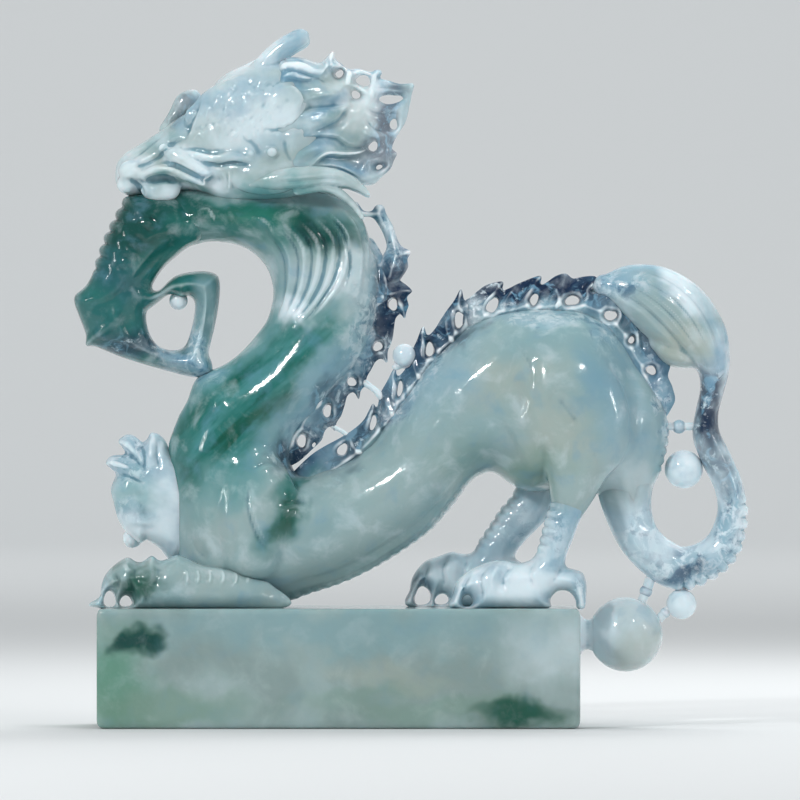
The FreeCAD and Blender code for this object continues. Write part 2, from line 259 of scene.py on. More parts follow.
# cuts grooves (depth above 0) or raises ridges (below 0) along lines drawn on the flanks; a pair of widths
# gives the groove a steep side and a gentle one
def carve(piece, strokes):
    places, normals = readShape(piece)
    flat = places[:, [0, 2]]
    moved = np.zeros(len(places))
    for points, width, depth in strokes:
        line = easedPath(points)
        left, right = width if isinstance(width, tuple) else (width, width)
        reach = 3 * max(left, right)
        low, high = line.min(axis=0) - reach, line.max(axis=0) + reach
        near = np.flatnonzero(np.all((flat > low) & (flat < high), axis=1))
        if not len(near):
            continue
        far, place, sideways, length = alongLine(flat[near], line)
        taper = np.clip(np.minimum(place, length - place) / (0.3 * length) + 0.15, 0, 1)
        facing = np.clip(np.abs(normals[near, 1]) * 1.6, 0, 1)
        moved[near] += depth * np.exp(-(far / np.where(sideways > 0, left, right)) ** 2) * taper * facing
    writeShape(piece, places - normals * moved[:, None])


# scallops along an edge line: rounded ribs one pitch apart, within a band of the line
def ribs(piece, points, pitch, height, band):
    places, normals = readShape(piece)
    far, place, _, length = alongLine(places[:, [0, 2]], easedPath(points))
    wave = np.abs(np.sin(math.pi * place / pitch)) ** 0.7 - 0.55
    ends = np.clip(np.minimum(place, length - place) / pitch, 0, 1)
    amount = height * wave * np.exp(-(far / band) ** 2) * ends
    writeShape(piece, places + normals * amount[:, None])


# lines spaced evenly between two guide lines, for hair
def between(first, last, count):
    a, b = (easedPath(guide) for guide in (first, last))
    t = np.linspace(0, 1, 12)
    a, b = (np.stack([np.interp(t, np.linspace(0, 1, len(g)), g[:, k]) for k in (0, 1)], axis=1)
            for g in (a, b))
    return [a + (b - a) * s for s in np.linspace(0, 1, count)]


# marks how sharply the skin bends, in turns per millimetre: above 0 on ridges and rims, below 0 in creases
def markBends(piece, reach=0.45):
    places, normals = readShape(piece)
    count = len(places)
    ends = np.empty(2 * len(piece.data.edges), int)
    piece.data.edges.foreach_get("vertices", ends)
    first, second = ends.reshape(-1, 2).T
    neighbours = np.maximum(np.bincount(first, minlength=count) + np.bincount(second, minlength=count), 1)

    def average(values):
        total = np.bincount(first, values[second], count) + np.bincount(second, values[first], count)
        return total / neighbours

    centres = np.stack([average(places[:, k]) for k in range(3)], axis=1)
    spacing = np.linalg.norm(places[first] - places[second], axis=1).mean()
    bends = 2 * ((places - centres) * normals).sum(axis=1) / spacing ** 2
    for _ in range(max(1, min(12, round((reach / spacing) ** 2)))):
        bends = 0.5 * bends + 0.5 * average(bends)
    mark = piece.data.attributes.new("bend", "FLOAT", "POINT")
    mark.data.foreach_set("value", bends)


# cuts a whole piece from its dictionary of values
def cutSlab(name, shape, look, slotName, *nodes):
    piece = relief(name, shape["edge"], shape["holes"], shape["voxel"], shape["rim"], shape["half"],
                   shape["thinnest"], shape["step"], shape.get("middle", 0.0))
    rub(piece, shape.get("rubs", 0))
    for line, pitch, height, band in shape.get("ribs", ()):
        ribs(piece, line, pitch, height, band)
    if "lines" in shape:
        carve(piece, shape["lines"])
    carve(piece, shape["strokes"])
    settle(piece, look, slotName, *nodes)


# blanks drawn for the far side (1) or mirrored to the near side (-1)
def sided(shapes, side):
    made = []
    for make, name, places, *more in shapes:
        if make is ball:
            places = (places[0], places[1] * side, places[2])
        else:
            places = [(x, y * side, *rest) for x, y, *rest in places]
        made.append(make(name, places, *more))
    return made


# gives a finished piece its look and hides the parts of the frame it stands for; slotName, the export slot,
# is not used
def settle(piece, look, slotName, *nodes):
    markBends(piece)
    bpy.context.view_layer.objects.active = piece
    for face in piece.data.polygons:
        face.use_smooth = True
    piece.data.materials.clear()
    piece.data.materials.append(look)
    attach(piece, "root")
    if nodes:
        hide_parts(*nodes)
    print("finished", piece.name, len(piece.data.polygons), "faces")


print("mixing the stones")

stone = {
    "white": (0.70, 0.80, 0.85),
    "milk": (0.325, 0.43, 0.43),
    "cream": (0.39, 0.435, 0.38),
    "fog": (0.24, 0.325, 0.315),
    "sage": (0.165, 0.29, 0.225),
    "mist": (0.235, 0.375, 0.40),
    "blue": (0.15, 0.32, 0.45),
    "haze": (0.28, 0.44, 0.53),
    "dusk": (0.05, 0.14, 0.24),
    "ink": (0.004, 0.020, 0.060),
    "teal": (0.020, 0.165, 0.145),
    "lagoon": (0.018, 0.11, 0.125),
    "deep": (0.003, 0.060, 0.052),
    "leaf": (0.045, 0.235, 0.135),
    "pine": (0.001, 0.082, 0.052),
    "sea": (0.09, 0.30, 0.31),
}

# cloudy places in the stone: centre x, z, half width, half height, lean in degrees, colour, strength
clouds = [
    (10, 42, 24, 12, 35, "milk", 0.6), (36, 50, 12, 8, 0, "cream", 0.5), (30, 60, 12, 6, 10, "cream", 0.4),
    (38, 68, 18, 6, 0, "mist", 0.8), (18, 60, 10, 6, 45, "haze", 0.5), (20, 66, 12, 3, 35, "mist", 0.8),
    (24, 49, 8, 7, 30, "mist", 0.7), (46, 62, 5, 9, 10, "blue", 0.45), (50, 50, 5, 12, 0, "haze", 0.5),
    (48, 42, 6, 8, 0, "milk", 0.8), (50, 42, 5, 6, 0, "white", 0.35), (8, 50, 9, 4, 40, "mist", 0.6),
    (-2, 34, 8, 5, 20, "mist", 0.55), (33, 44, 9, 4, 0, "sage", 0.55), (2, 29, 10, 5, 20, "milk", 0.7),
    (44, 66, 8, 5, 0, "mist", 0.7), (21, 46, 6, 5, 40, "sage", 0.3), (-15, 57, 27, 13, 45, "sea", 0.85),
    (-21, 50, 17, 8, 48, "teal", 0.8), (-12, 60, 22, 6, 44, "teal", 0.75),
    (-15, 56, 24, 6.4, 44, "streak", 0.85), (-23, 46, 8, 5, 52, "streak", 0.8),
    (-6, 64, 12, 3, 44, "streak", 0.85), (-4, 57, 13, 4.6, 48, "haze", 0.65),
    (-18, 36, 12, 8, 0, "milk", 0.7), (-20, 41, 8, 5, 30, "sea", 0.45),
    (-9.6, 36.4, 3.2, 6.6, -28, "teal", 0.8), (-9.4, 37, 2, 5, -28, "pine", 0.9),
    (-8, 41, 7, 2, 25, "teal", 0.7), (-1, 80, 8, 11, 10, "milk", 0.9), (-5, 73, 7, 5, 0, "mist", 0.7),
    # the strong white cloud at -8.6, 71.4 is a painted highlight on the neck
    (2, 78, 4, 9, 0, "white", 0.45), (-8.6, 71.4, 4, 2.6, -30, "white", 0.95),
    (-4, 76, 6, 5, 0, "white", 0.4), (-14, 87, 26, 5, -4, "teal", 1.0),
    (-5, 86.2, 9, 3.4, -20, "deep", 0.95), (-16, 87.6, 10, 2.4, 0, "leaf", 0.3),
    (-33, 82, 14, 14, 50, "teal", 0.8), (-35, 86, 9, 8, 50, "deep", 0.9),
    (-26, 88, 10, 2.4, 0, "deep", 0.6), (-37, 78, 5, 8, 70, "lagoon", 0.9),
    (-41, 70, 8, 6, 0, "lagoon", 0.5), (-30, 79, 5, 5, 0, "teal", 0.5), (-23, 71, 4, 9, 0, "mist", 0.8),
    (-34.5, 25.4, 4, 3, 0, "pine", 0.9), (-38.8, 23.4, 3, 3, 0, "frost", 0.7),
    # glassy places full of flecks
    (8.4, 72, 4.6, 13, -10, "fleck", 0.97), (1.6, 58, 3.6, 12, -36, "fleck", 0.97),
    (-6, 47.4, 7, 3.4, 40, "fleck", 0.9), (6, 52, 3, 12, -36, "fleck", 0.85),
    (15.4, 67, 3, 10, -42, "fleck", 0.85), (36, 75.6, 22, 3, 0, "fleck", 0.95),
    (52, 68, 3, 8, 40, "fleck", 0.6), (-34, 65.4, 8, 3, -18, "fleck", 0.7),
    (-26, 62.4, 7, 3.4, -18, "frost", 0.6), (-25, 62.6, 6, 2, -18, "blue", 0.5),
    (-24.2, 67, 2.6, 6, 0, "frost", 0.8), (28, 74.6, 22, 4, 6, "fleck", 0.97),
    (21, 69.6, 7, 4.4, 48, "fleck", 0.95), (8, 84, 5, 7, 0, "frost", 0.8), (55, 55, 2, 8, 0, "frost", 0.7),
    (30, 70.6, 18, 2.6, 0, "frost", 0.5), (46, 68, 6, 3, -40, "frost", 0.5),
    (12, 58, 2.4, 12, -40, "frost", 0.5), (3.4, 68, 3.4, 13, -16, "frost", 0.5),
    (-4, 52, 4, 5, -40, "frost", 0.4),
    # the block
    (0, 17, 44, 5, 0, "mist", 0.8), (-39, 6, 8, 10, 0, "leaf", 0.7), (-30, 3, 18, 4, 0, "sage", 0.7),
    (20, 2.6, 26, 3, 0, "sage", 0.5), (38, 13, 12, 8, 0, "white", 0.35), (4, 6, 16, 2.4, 10, "sage", 0.4),
    (8, 10, 14, 3, -10, "cream", 0.4), (-37, 17, 7, 3, 0, "sage", 0.5), (31, 2.4, 8, 2.4, 8, "pine", 1.0),
    (-34.6, 14.4, 6, 2.6, 30, "pine", 1.0), (-34.4, 14.6, 5.4, 1.9, 30, "deep", 1.0),
]
headClouds = [
    (-32, 96, 9, 5, 20, "cream", 0.35), (-29, 101, 8, 2.6, 35, "mist", 0.85),
    (-15, 105, 12, 9, 0, "white", 0.7), (-19, 107.6, 8, 3, 35, "haze", 0.5),
    (-11, 110, 5, 3, 0, "haze", 0.5), (-11, 92.6, 10, 3, 0, "sea", 0.5),
    (-30.2, 94, 2.6, 1.0, 0, "sea", 0.7), (-21.2, 92.6, 2.6, 1.5, 0, "teal", 0.95),
    (-14, 91.6, 12, 2, 0, "sea", 0.75), (-27, 91.8, 5, 1.2, 0, "teal", 0.6),
    (-9, 116.6, 6, 3, 40, "haze", 0.9), (-26.6, 107, 2.4, 3, 0, "fleck", 0.6),
    (-24, 106, 2.4, 4, -20, "blue", 0.4), (-34, 95, 4, 2, 0, "white", 0.5),
    (-30.6, 91.4, 4, 1.4, 0, "mist", 0.7), (-24, 96.5, 9, 3, -35, "white", 0.8),
    (-14, 99, 8, 2, 0, "haze", 0.4),
]
maneClouds = [
    (-8, 111.6, 5, 2, -4, "blue", 0.8), (-4, 105, 5, 2, 12, "blue", 0.7),
    (-3.4, 100.4, 5, 2, 10, "blue", 0.6), (1, 96.8, 5, 1.6, 0, "blue", 0.7),
    (9.4, 105, 3.4, 10, 0, "fleck", 0.75), (6.4, 98, 5, 3, 0, "fleck", 0.65),
    (2, 95.6, 4, 1.6, 0, "blue", 0.6), (4, 112, 9, 2, -6, "frost", 0.9), (-1, 109, 5, 2, 0, "cream", 0.4),
    (3.5, 104, 4, 5, 0, "cream", 0.35),
]
tailClouds = [
    (58, 70, 10, 9, 0, "milk", 0.8), (60, 66, 6, 6, 30, "cream", 0.75), (52, 74, 8, 4, -30, "milk", 0.7),
    # the white streak at 59, 76 is a painted highlight on the tuft
    (59, 76, 8, 3.4, -40, "white", 0.95), (64.2, 54, 3.2, 10, 0, "fleck", 0.97),
    (60, 27, 9, 4, 0, "frost", 0.85), (60, 26.6, 6, 1.6, 20, "fleck", 0.5),
    (68, 36, 4, 10, 0, "frost", 0.9), (66, 44, 3, 6, 0, "fleck", 0.5), (50.6, 33.6, 3, 4, 0, "white", 0.5),
    (50, 45, 8, 9, 0, "milk", 0.95), (50, 37, 6, 6, 0, "white", 0.3), (52, 33, 4, 4, 0, "frost", 0.5),
    (66, 63, 2, 4, 0, "blue", 0.5), (47, 76, 5, 3, -10, "frost", 0.8),
]
legClouds = [
    (18, 26.4, 9, 4, 0, "white", 0.85), (31, 25, 12, 4, 0, "white", 0.8),
    # the white cloud at 26, 36 is painted light, lifting the far hind leg out of its shade
    (13.4, 22.6, 2.6, 2.6, 0, "fleck", 0.7), (26, 36, 7, 9, -30, "white", 0.6),
    (30, 34, 4, 5, -30, "frost", 0.45), (37, 34, 3, 6, 0, "frost", 0.4), (39, 44, 9, 7, 0, "milk", 0.95),
    (41.5, 23, 2, 3, 0, "frost", 0.8), (-37, 46, 6, 5, 0, "frost", 0.9), (-35.4, 39, 5, 7, 0, "sea", 0.6),
    (-35, 36, 4, 3, 20, "frost", 0.8), (-34, 33.4, 6, 4, 0, "white", 0.85),
    (-31, 46, 4, 3, 0, "haze", 0.6),
]


# the polish: how rough it is at least and at most, its thin coat, and how light scatters below the skin;
# also the colours of the painted glow on thin rims and of the painted shade in creases
polish = {"smooth": 0.08, "rough": 0.17, "coat": 0.25, "coatRoughness": 0.03, "specular": 0.28,
          "bending": 1.6,
          "scatter": 0.6, "scatterDepth": 0.0009, "scatterTint": (0.6, 1.0, 1.0), "ripple": 0.14,
          "rippleDepth": 0.0009, "paintedRimGlow": (0.86, 0.92, 0.95), "paintedCreaseShade": (0.30, 0.50, 0.58),
          "wander": 0.012}


# a stone of two mixed colours with clouds in it; edge is the strength of the painted glow on thin rims,
# keen how sharp a rim has to be, hazy the strength of the cloudiness inside
def jade(name, main, second, places, edge=0.35, keen=1.0, hazy=1.0):
    material = bpy.data.materials.new(name)
    material.use_nodes = True
    nodes, links = material.node_tree.nodes, material.node_tree.links
    shader = nodes["Principled BSDF"]
    where = nodes.new("ShaderNodeTexCoord").outputs["Object"]

    def node(kind, inputs=None, **settings):
        made = nodes.new(kind)
        for key, value in settings.items():
            setattr(made, key, value)
        for key, value in (inputs or {}).items():
            if isinstance(value, bpy.types.NodeSocket):
                links.new(value, made.inputs[key])
            else:
                made.inputs[key].default_value = value
        return made

    def mixColour(amount, a, b, blend="MIX"):
        mixer = node("ShaderNodeMix", data_type="RGBA", blend_type=blend)
        for socket, value in ((mixer.inputs[0], amount), (mixer.inputs[6], a), (mixer.inputs[7], b)):
            if isinstance(value, bpy.types.NodeSocket):
                links.new(value, socket)
            elif isinstance(value, (int, float)):
                socket.default_value = value
            else:
                socket.default_value = (*value, 1)
        return mixer.outputs[2]

    def ranged(value, low, high, start=0.0, end=1.0):
        return node("ShaderNodeMapRange", {"Value": value, "From Min": low, "From Max": high,
                                           "To Min": start,
                                           "To Max": end}, interpolation_type="SMOOTHSTEP").outputs[0]

    def noise(scale, detail=4.0, rough=0.55, bend=0.0, at=None):
        return node("ShaderNodeTexNoise", {"Vector": at or where, "Scale": scale, "Detail": detail,
                                           "Roughness": rough, "Distortion": bend})

    # the clouds' outlines wander by a few millimetres
    wander = noise(120, 3, 0.5)
    offset = node("ShaderNodeVectorMath", {0: wander.outputs["Color"], 1: (0.5, 0.5, 0.5)},
                  operation="SUBTRACT")
    warped = node("ShaderNodeVectorMath", {0: offset.outputs[0], 1: (polish["wander"],) * 3, 2: where},
                  operation="MULTIPLY_ADD").outputs[0]
    # flecked glass: dark blue blots and white sparks in mid blue
    blots = noise(260, 6, 0.62, 0.9, warped).outputs["Fac"]
    sparks = noise(430, 6, 0.68, 0.5).outputs["Fac"]
    flecked = mixColour(ranged(blots, 0.34, 0.50), stone["blue"], stone["ink"])
    flecked = mixColour(ranged(sparks, 0.56, 0.67, 0.0, 0.85), flecked, stone["white"])
    frosted = mixColour(ranged(blots, 0.50, 0.62), stone["haze"], stone["dusk"])
    frosted = mixColour(ranged(sparks, 0.46, 0.60, 0.0, 0.9), frosted, stone["white"])
    grain = node("ShaderNodeMapping", {"Vector": where, "Rotation": (0, math.radians(-44), 0),
                                       "Scale": (4.5, 2, 1)},
                 vector_type="TEXTURE").outputs[0]
    grain = noise(330, 3, 0.55, 0.2, grain).outputs["Fac"]
    streaked = mixColour(ranged(grain, 0.50, 0.66), stone["teal"], stone["pine"])
    streaked = mixColour(ranged(grain, 0.50, 0.34, 0.0, 0.7), streaked, stone["sea"])
    tints = {"fleck": flecked, "frost": frosted, "streak": streaked}
    colour = mixColour(ranged(noise(60, 4, 0.55, 0.4).outputs["Fac"], 0.36, 0.66), stone[main],
                       stone[second])
    for x, z, wide, high, lean, tint, strength in places:
        placed = node("ShaderNodeMapping", {"Vector": warped, "Location": (x * mm, 0, z * mm),
                      "Rotation": (0, math.radians(-lean), 0), "Scale": (wide * mm, 10, high * mm)},
                      vector_type="TEXTURE").outputs[0]
        far = node("ShaderNodeVectorMath", {0: placed}, operation="LENGTH").outputs["Value"]
        colour = mixColour(ranged(far, 0.25, 1.25, strength, 0), colour, tints.get(tint) or stone[tint])
    # soft cloudiness inside the stone
    haze = noise(190, 5, 0.55, 0.3).outputs["Fac"]
    colour = mixColour(ranged(haze, 0.50, 0.74, 0.0, 0.32 * hazy), colour, stone["white"])
    colour = mixColour(ranged(haze, 0.28, 0.48, 0.3 * hazy, 0.0), colour, stone["blue"])
    # painted light: thin rims are painted pale as a glow, and creases are painted darker as shade
    bend = node("ShaderNodeAttribute", attribute_name="bend").outputs["Fac"]
    colour = mixColour(ranged(bend, 0.28 * keen, 1.1 * keen, 0.0, edge), colour, polish["paintedRimGlow"])
    colour = mixColour(ranged(bend, -1.0, -0.10, 0.85, 0.0), colour, polish["paintedCreaseShade"], "MULTIPLY")
    links.new(colour, shader.inputs["Base Color"])
    ripple = noise(300, 3, 0.5).outputs["Fac"]
    bump = node("ShaderNodeBump", {"Height": ripple, "Strength": polish["ripple"],
                                   "Distance": polish["rippleDepth"]})
    links.new(bump.outputs[0], shader.inputs["Normal"])
    smear = noise(90, 4, 0.6).outputs["Fac"]
    links.new(ranged(smear, 0.3, 0.7, polish["smooth"], polish["rough"]), shader.inputs["Roughness"])
    for socket, setting in (("Subsurface Weight", "scatter"), ("Subsurface Radius", "scatterTint"),
                            ("Subsurface Scale", "scatterDepth"), ("IOR", "bending"),
                            ("Specular IOR Level", "specular"), ("Coat Weight", "coat"),
                            ("Coat Roughness", "coatRoughness")):
        shader.inputs[socket].default_value = polish[setting]
    return material


# the clouds whose centres lie between two heights
def within(low, high):
    return [cloud for cloud in clouds if low < cloud[1] < high]


bodyLook = jade("milky_jade", "milk", "mist", within(20, 95), 0.25)
scrollLook = jade("green_jade", "teal", "lagoon", within(60, 92), 0.3)
clearLook = jade("glassy_jade", "dusk", "haze", within(40, 92), 0.9, 1.7)
blockLook = jade("block_jade", "milk", "fog", within(-1, 20), 0.25, 1.0, 0.4)
headLook = jade("icy_jade", "white", "milk", headClouds, 0.5, 1.2)
maneLook = jade("mane_jade", "white", "mist", maneClouds, 0.75, 1.2)
tailLook = jade("tail_jade", "haze", "white", tailClouds, 0.6, 1.0)
legLook = jade("leg_jade", "haze", "white", legClouds, 0.6, 1.2)
# the pearl's white cloud at 44, 17 is painted light, lifting the shade the block casts on its left side
pearlLook = jade("pearl_jade", "white", "white", [(49.3, 16, 8, 8, 0, "milk", 0.5),
                                                  (51, 12, 7, 4, 20, "cream", 0.5),
                                                  (44, 17, 4, 6, 0, "white", 0.9)], 0.3)


print("cutting the seal block and the pearls")

block = {"edge": 0.6, "edgeSteps": 4, "voxel": 0.6, "rubs": 6}
low, high = (Vector(c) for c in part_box("seal_block"))
bpy.ops.object.select_all(action="DESELECT")
bpy.ops.mesh.primitive_cube_add(size=1)
sealBlock = bpy.context.object
sealBlock.name = sealBlock.data.name = "sealBlock"
for corner in sealBlock.data.vertices:
    corner.co = Vector(low[k] if corner.co[k] < 0 else high[k] for k in range(3))
applyModifier(sealBlock, "corners", "BEVEL", width=block["edge"] * mm, segments=block["edgeSteps"])
applyModifier(sealBlock, "skin", "REMESH", mode="VOXEL", voxel_size=block["voxel"] * mm)
rub(sealBlock, block["rubs"])
settle(sealBlock, blockLook, "block_jade", "seal_block")

# each pearl: name, centre, radius, look, slot, and the part of the frame it stands for
pearls = [
    ("largePearl", (49.3, 0, 15.8), 6.4, pearlLook, "block_jade", "large_pearl"),
    ("loopPearl", (59.3, 0, 44.2), 3.3, pearlLook, "clear_jade", "loop_pearl"),
    ("lowPearl", (58.9, 0, 21.0), 2.6, pearlLook, "clear_jade", "low_pearl"),
    ("backPearl", (11.2, -0.6, 63.8), 2.0, pearlLook, "clear_jade", "back_pearl"),
    ("scrollPearl", (-27.6, 0, 73.2), 1.6, pearlLook, "clear_jade", "scroll_pearl"),
    ("pawPearl", (-35.6, 4, 32.3), 1.7, pearlLook, "clear_jade", "paw_pearl"),
    ("tailLink", (52.8, 0, 23.2), 1.1, clearLook, "clear_jade", "tail_link"),
    ("rumpLink", (58.5, 0, 51.5), 1.2, clearLook, "clear_jade", "rump_link"),
    ("pearlLink", (56.1, 0, 19.5), 0.9, clearLook, "clear_jade", "pearl_link"),
]
for name, centre, radius, look, slotName, node in pearls:
    settle(ball(name, centre, radius, 20 if radius > 2 else 12), look, slotName, node)


print("blending the trunk")

trunkShape = {
    "edge": [
        (-29, 92), (-14, 92.4), (-4, 92), (1.6, 90.2), (4.2, 87), (5.4, 83.6), (6.6, 80), (7.5, 76),
        (7.5, 72), (6.6, 68.4), (5.0, 65), (3.2, 62.2), (0.9, 59.2), (-1.6, 56.4), (-3.6, 53.8),
        (-6.0, 51.6), (-7.6, 49.4), (-8.2, 46.4), (-7.6, 43.6), (-5.4, 43.2), (-3.0, 44.4), (0.4, 45.6),
        (3.6, 47.4), (6.2, 49.4), (8.4, 53), (11.6, 57), (14.2, 61), (17.2, 64.4), (20.2, 67.2),
        (24, 69.9), (30, 71.7), (36, 72.1), (42, 71.6), (45, 70.1), (47, 68.5), (48.8, 66.4), (50.6, 63.8),
        (52, 61), (54, 58), (55.8, 55), (56.6, 52), (56.1, 48), (54.6, 43.6), (53.6, 40), (53.2, 37),
        (53.4, 34.6), (51, 32.6), (48.6, 33), (46.6, 36.4), (45, 39.4), (43, 40.4), (40, 40), (36.8, 40.6),
        (33.6, 40.2), (30.6, 40.9), (28.4, 42.4), (26.6, 43.6), (25, 43.5), (22.6, 42), (20.4, 39),
        (18, 36), (15, 33), (10, 29.5), (5, 26.6), (0, 24.4), (-5, 22.8), (-10.5, 20.9), (-18, 20.4),
        (-24, 21), (-27, 25), (-28, 31), (-28.3, 36), (-28.8, 42), (-29.4, 48), (-28.5, 51), (-27.4, 53.8),
        (-26.1, 56), (-25, 59.2), (-23.4, 60.8), (-20.6, 61.8), (-18.2, 63.2), (-16, 65.2), (-14.3, 67.2),
        (-12.5, 69.6), (-11.7, 72), (-11.3, 74.6), (-12, 78), (-13.4, 80.1), (-15.2, 81.7), (-18, 82.9),
        (-22.4, 83.3), (-26.2, 82.4), (-29.4, 83.2), (-31, 87),
    ],
    "girthPlaces": [-31, -22, -10, 4, 20, 34, 44, 51, 57],
    "girths": [7.5, 9.4, 9.8, 10, 11, 12.3, 12.2, 9.6, 7.5],
    "blankVoxel": 0.5, "rim": 9.2, "thinnest": 0.6, "step": 1.2, "steepness": 0.66,
    "voxel": 0.45, "rubs": 8,
    # the far side's blanks: stations of x, y, z, half height and half depth
    "sides": [
        (limb, "haunchBlank", [(32, 8, 61, 5, 4.4), (37, 8.8, 57.4, 10, 5.4), (41, 9.2, 50, 9.4, 4.8),
                               (40.6, 9.0, 44, 5.6, 4.8), (39.6, 8.8, 38.8, 3.5, 4.3),
                               (38.8, 8.8, 35.4, 2.2, 2.8)]),
        (limb, "shoulderBlank", [(-16, 6, 45, 6, 4.4), (-14, 7.4, 37, 7.4, 4.6), (-15, 8, 29, 5.4, 4)]),
    ],
    "root": [
        (43, 0, 59, 9, 8.6), (49.2, 0, 52, 7.4, 7.8), (49.8, 0, 46, 6.1, 6.6), (49.3, 0, 41.4, 4.8, 5.5),
        (49.9, 0, 37, 3.8, 4.5), (51.2, 0, 33.4, 2.2, 2.8),
    ],
    "belly": [
        (-10, 21.5), (-5, 23.2), (0, 24.6), (5, 26.9), (10, 29.9), (15, 33.4), (18, 36.4), (20.6, 39.4),
        (22.8, 42.2),
    ],
    "rump": [(56.6, 59.8), (57, 56), (57, 51), (56.2, 46.4), (54.6, 42.6)],
    "hairFront": [(-12.6, 85), (-9.8, 80.6), (-9.6, 75), (-10.8, 70.2)],
    "hairBack": [(-2.6, 89), (1.4, 84.4), (0.8, 78), (-1.6, 73.6), (-5.6, 69.2)],
    "hairs": 10, "hairWidth": 0.42, "hairDepths": (0.42, -0.34),
    "strokes": [
        ([(-1.6, 90.4), (2.4, 86), (3.6, 80.6), (3.2, 73.4)], 0.55, -0.55),
        ([(-3, 89), (0.6, 85.2), (2.2, 80), (1.2, 75)], 0.4, 0.5),
        ([(0.4, 91), (3.8, 87), (4.8, 82), (4.6, 77)], 0.4, -0.4),
        ([(-10.6, 71.6), (-8.4, 71.2), (-6, 68.8)], 1.1, -0.35),
        ([(-32, 84), (-28, 85.4), (-26, 86.7), (-22, 85.2)], 0.45, -0.4),
        ([(-24.5, 88.4), (-22.4, 88.8), (-21, 86.4)], 0.35, -0.3),
        ([(-33, 89.4), (-31.4, 88.3), (-29.4, 88.6), (-27.6, 89.6)], 0.45, -0.4),
        ([(-14, 87.6), (-12, 86.2), (-11, 84)], 0.5, -0.25),
        ([(36.8, 57.2), (38.8, 54.8), (41.4, 51.4)], 1.0, 0.4),
        ([(30, 66), (32.6, 62.4), (33.4, 57)], (1.6, 0.6), 0.35),
        ([(27, 54), (29.6, 49), (31.4, 44)], (0.8, 2), 0.4),
        ([(47, 66), (50.6, 60), (51, 52), (49.4, 46)], (0.9, 1.8), 0.4),
        ([(-15.2, 42.4), (-15.6, 38), (-14, 33), (-11.8, 30)], (0.5, 1.4), 0.55),
        ([(-10.4, 38), (-7.6, 38.8), (-4.4, 38.4)], 0.8, 0.4),
        ([(-15, 44), (-12, 45.6), (-8.4, 44.2)], (1.4, 0.5), 0.45),
        ([(-26, 34), (-24.4, 30.4), (-22, 28.4)], (1.2, 0.5), 0.3),
        ([(43, 48.6), (44.4, 44.6), (43.6, 41)], (0.9, 1.6), 0.4),
    ],
}


def trunkHalf(x, z, edge):
    slimmed = np.where(x > 44, np.interp(z, [33, 47], [0.3, 1]), np.interp(z, [60, 84], [1, 0.86]))
    return np.interp(x, trunkShape["girthPlaces"], trunkShape["girths"]) * slimmed


blanks = [relief("trunkBlank", trunkShape["edge"], [], trunkShape["blankVoxel"], trunkShape["rim"],
                 trunkHalf, trunkShape["thinnest"], trunkShape["step"],
                 steepness=trunkShape["steepness"])]
for side in (-1, 1):
    blanks += sided(trunkShape["sides"], side)
blanks.append(limb("rootBlank", trunkShape["root"]))
trunk = fuse("trunk", blanks, trunkShape["voxel"], trunkShape["rubs"])
belly = trunkShape["belly"]
ribs(trunk, belly, 1.9, 0.22, 1.0)
ribs(trunk, trunkShape["rump"], 1.7, 0.35, 1.2)
# a ridge and a groove run along the belly's edge
carve(trunk, [([(x - 0.7, z + 0.9) for x, z in belly], 0.35, -0.22),
              ([(x - 1.3, z + 1.7) for x, z in belly], 0.4, 0.25)])
hair = between(trunkShape["hairFront"], trunkShape["hairBack"], trunkShape["hairs"])
carve(trunk, [(line, trunkShape["hairWidth"], trunkShape["hairDepths"][k % 2])
              for k, line in enumerate(hair)])
carve(trunk, trunkShape["strokes"])
settle(trunk, bodyLook, "pale_jade", "torso", "chest", "lower_neck", "upper_neck", "throat", "near_haunch",
       "far_haunch", "lower_jaw")

print("cutting the scroll that falls from the jaw to the chest")

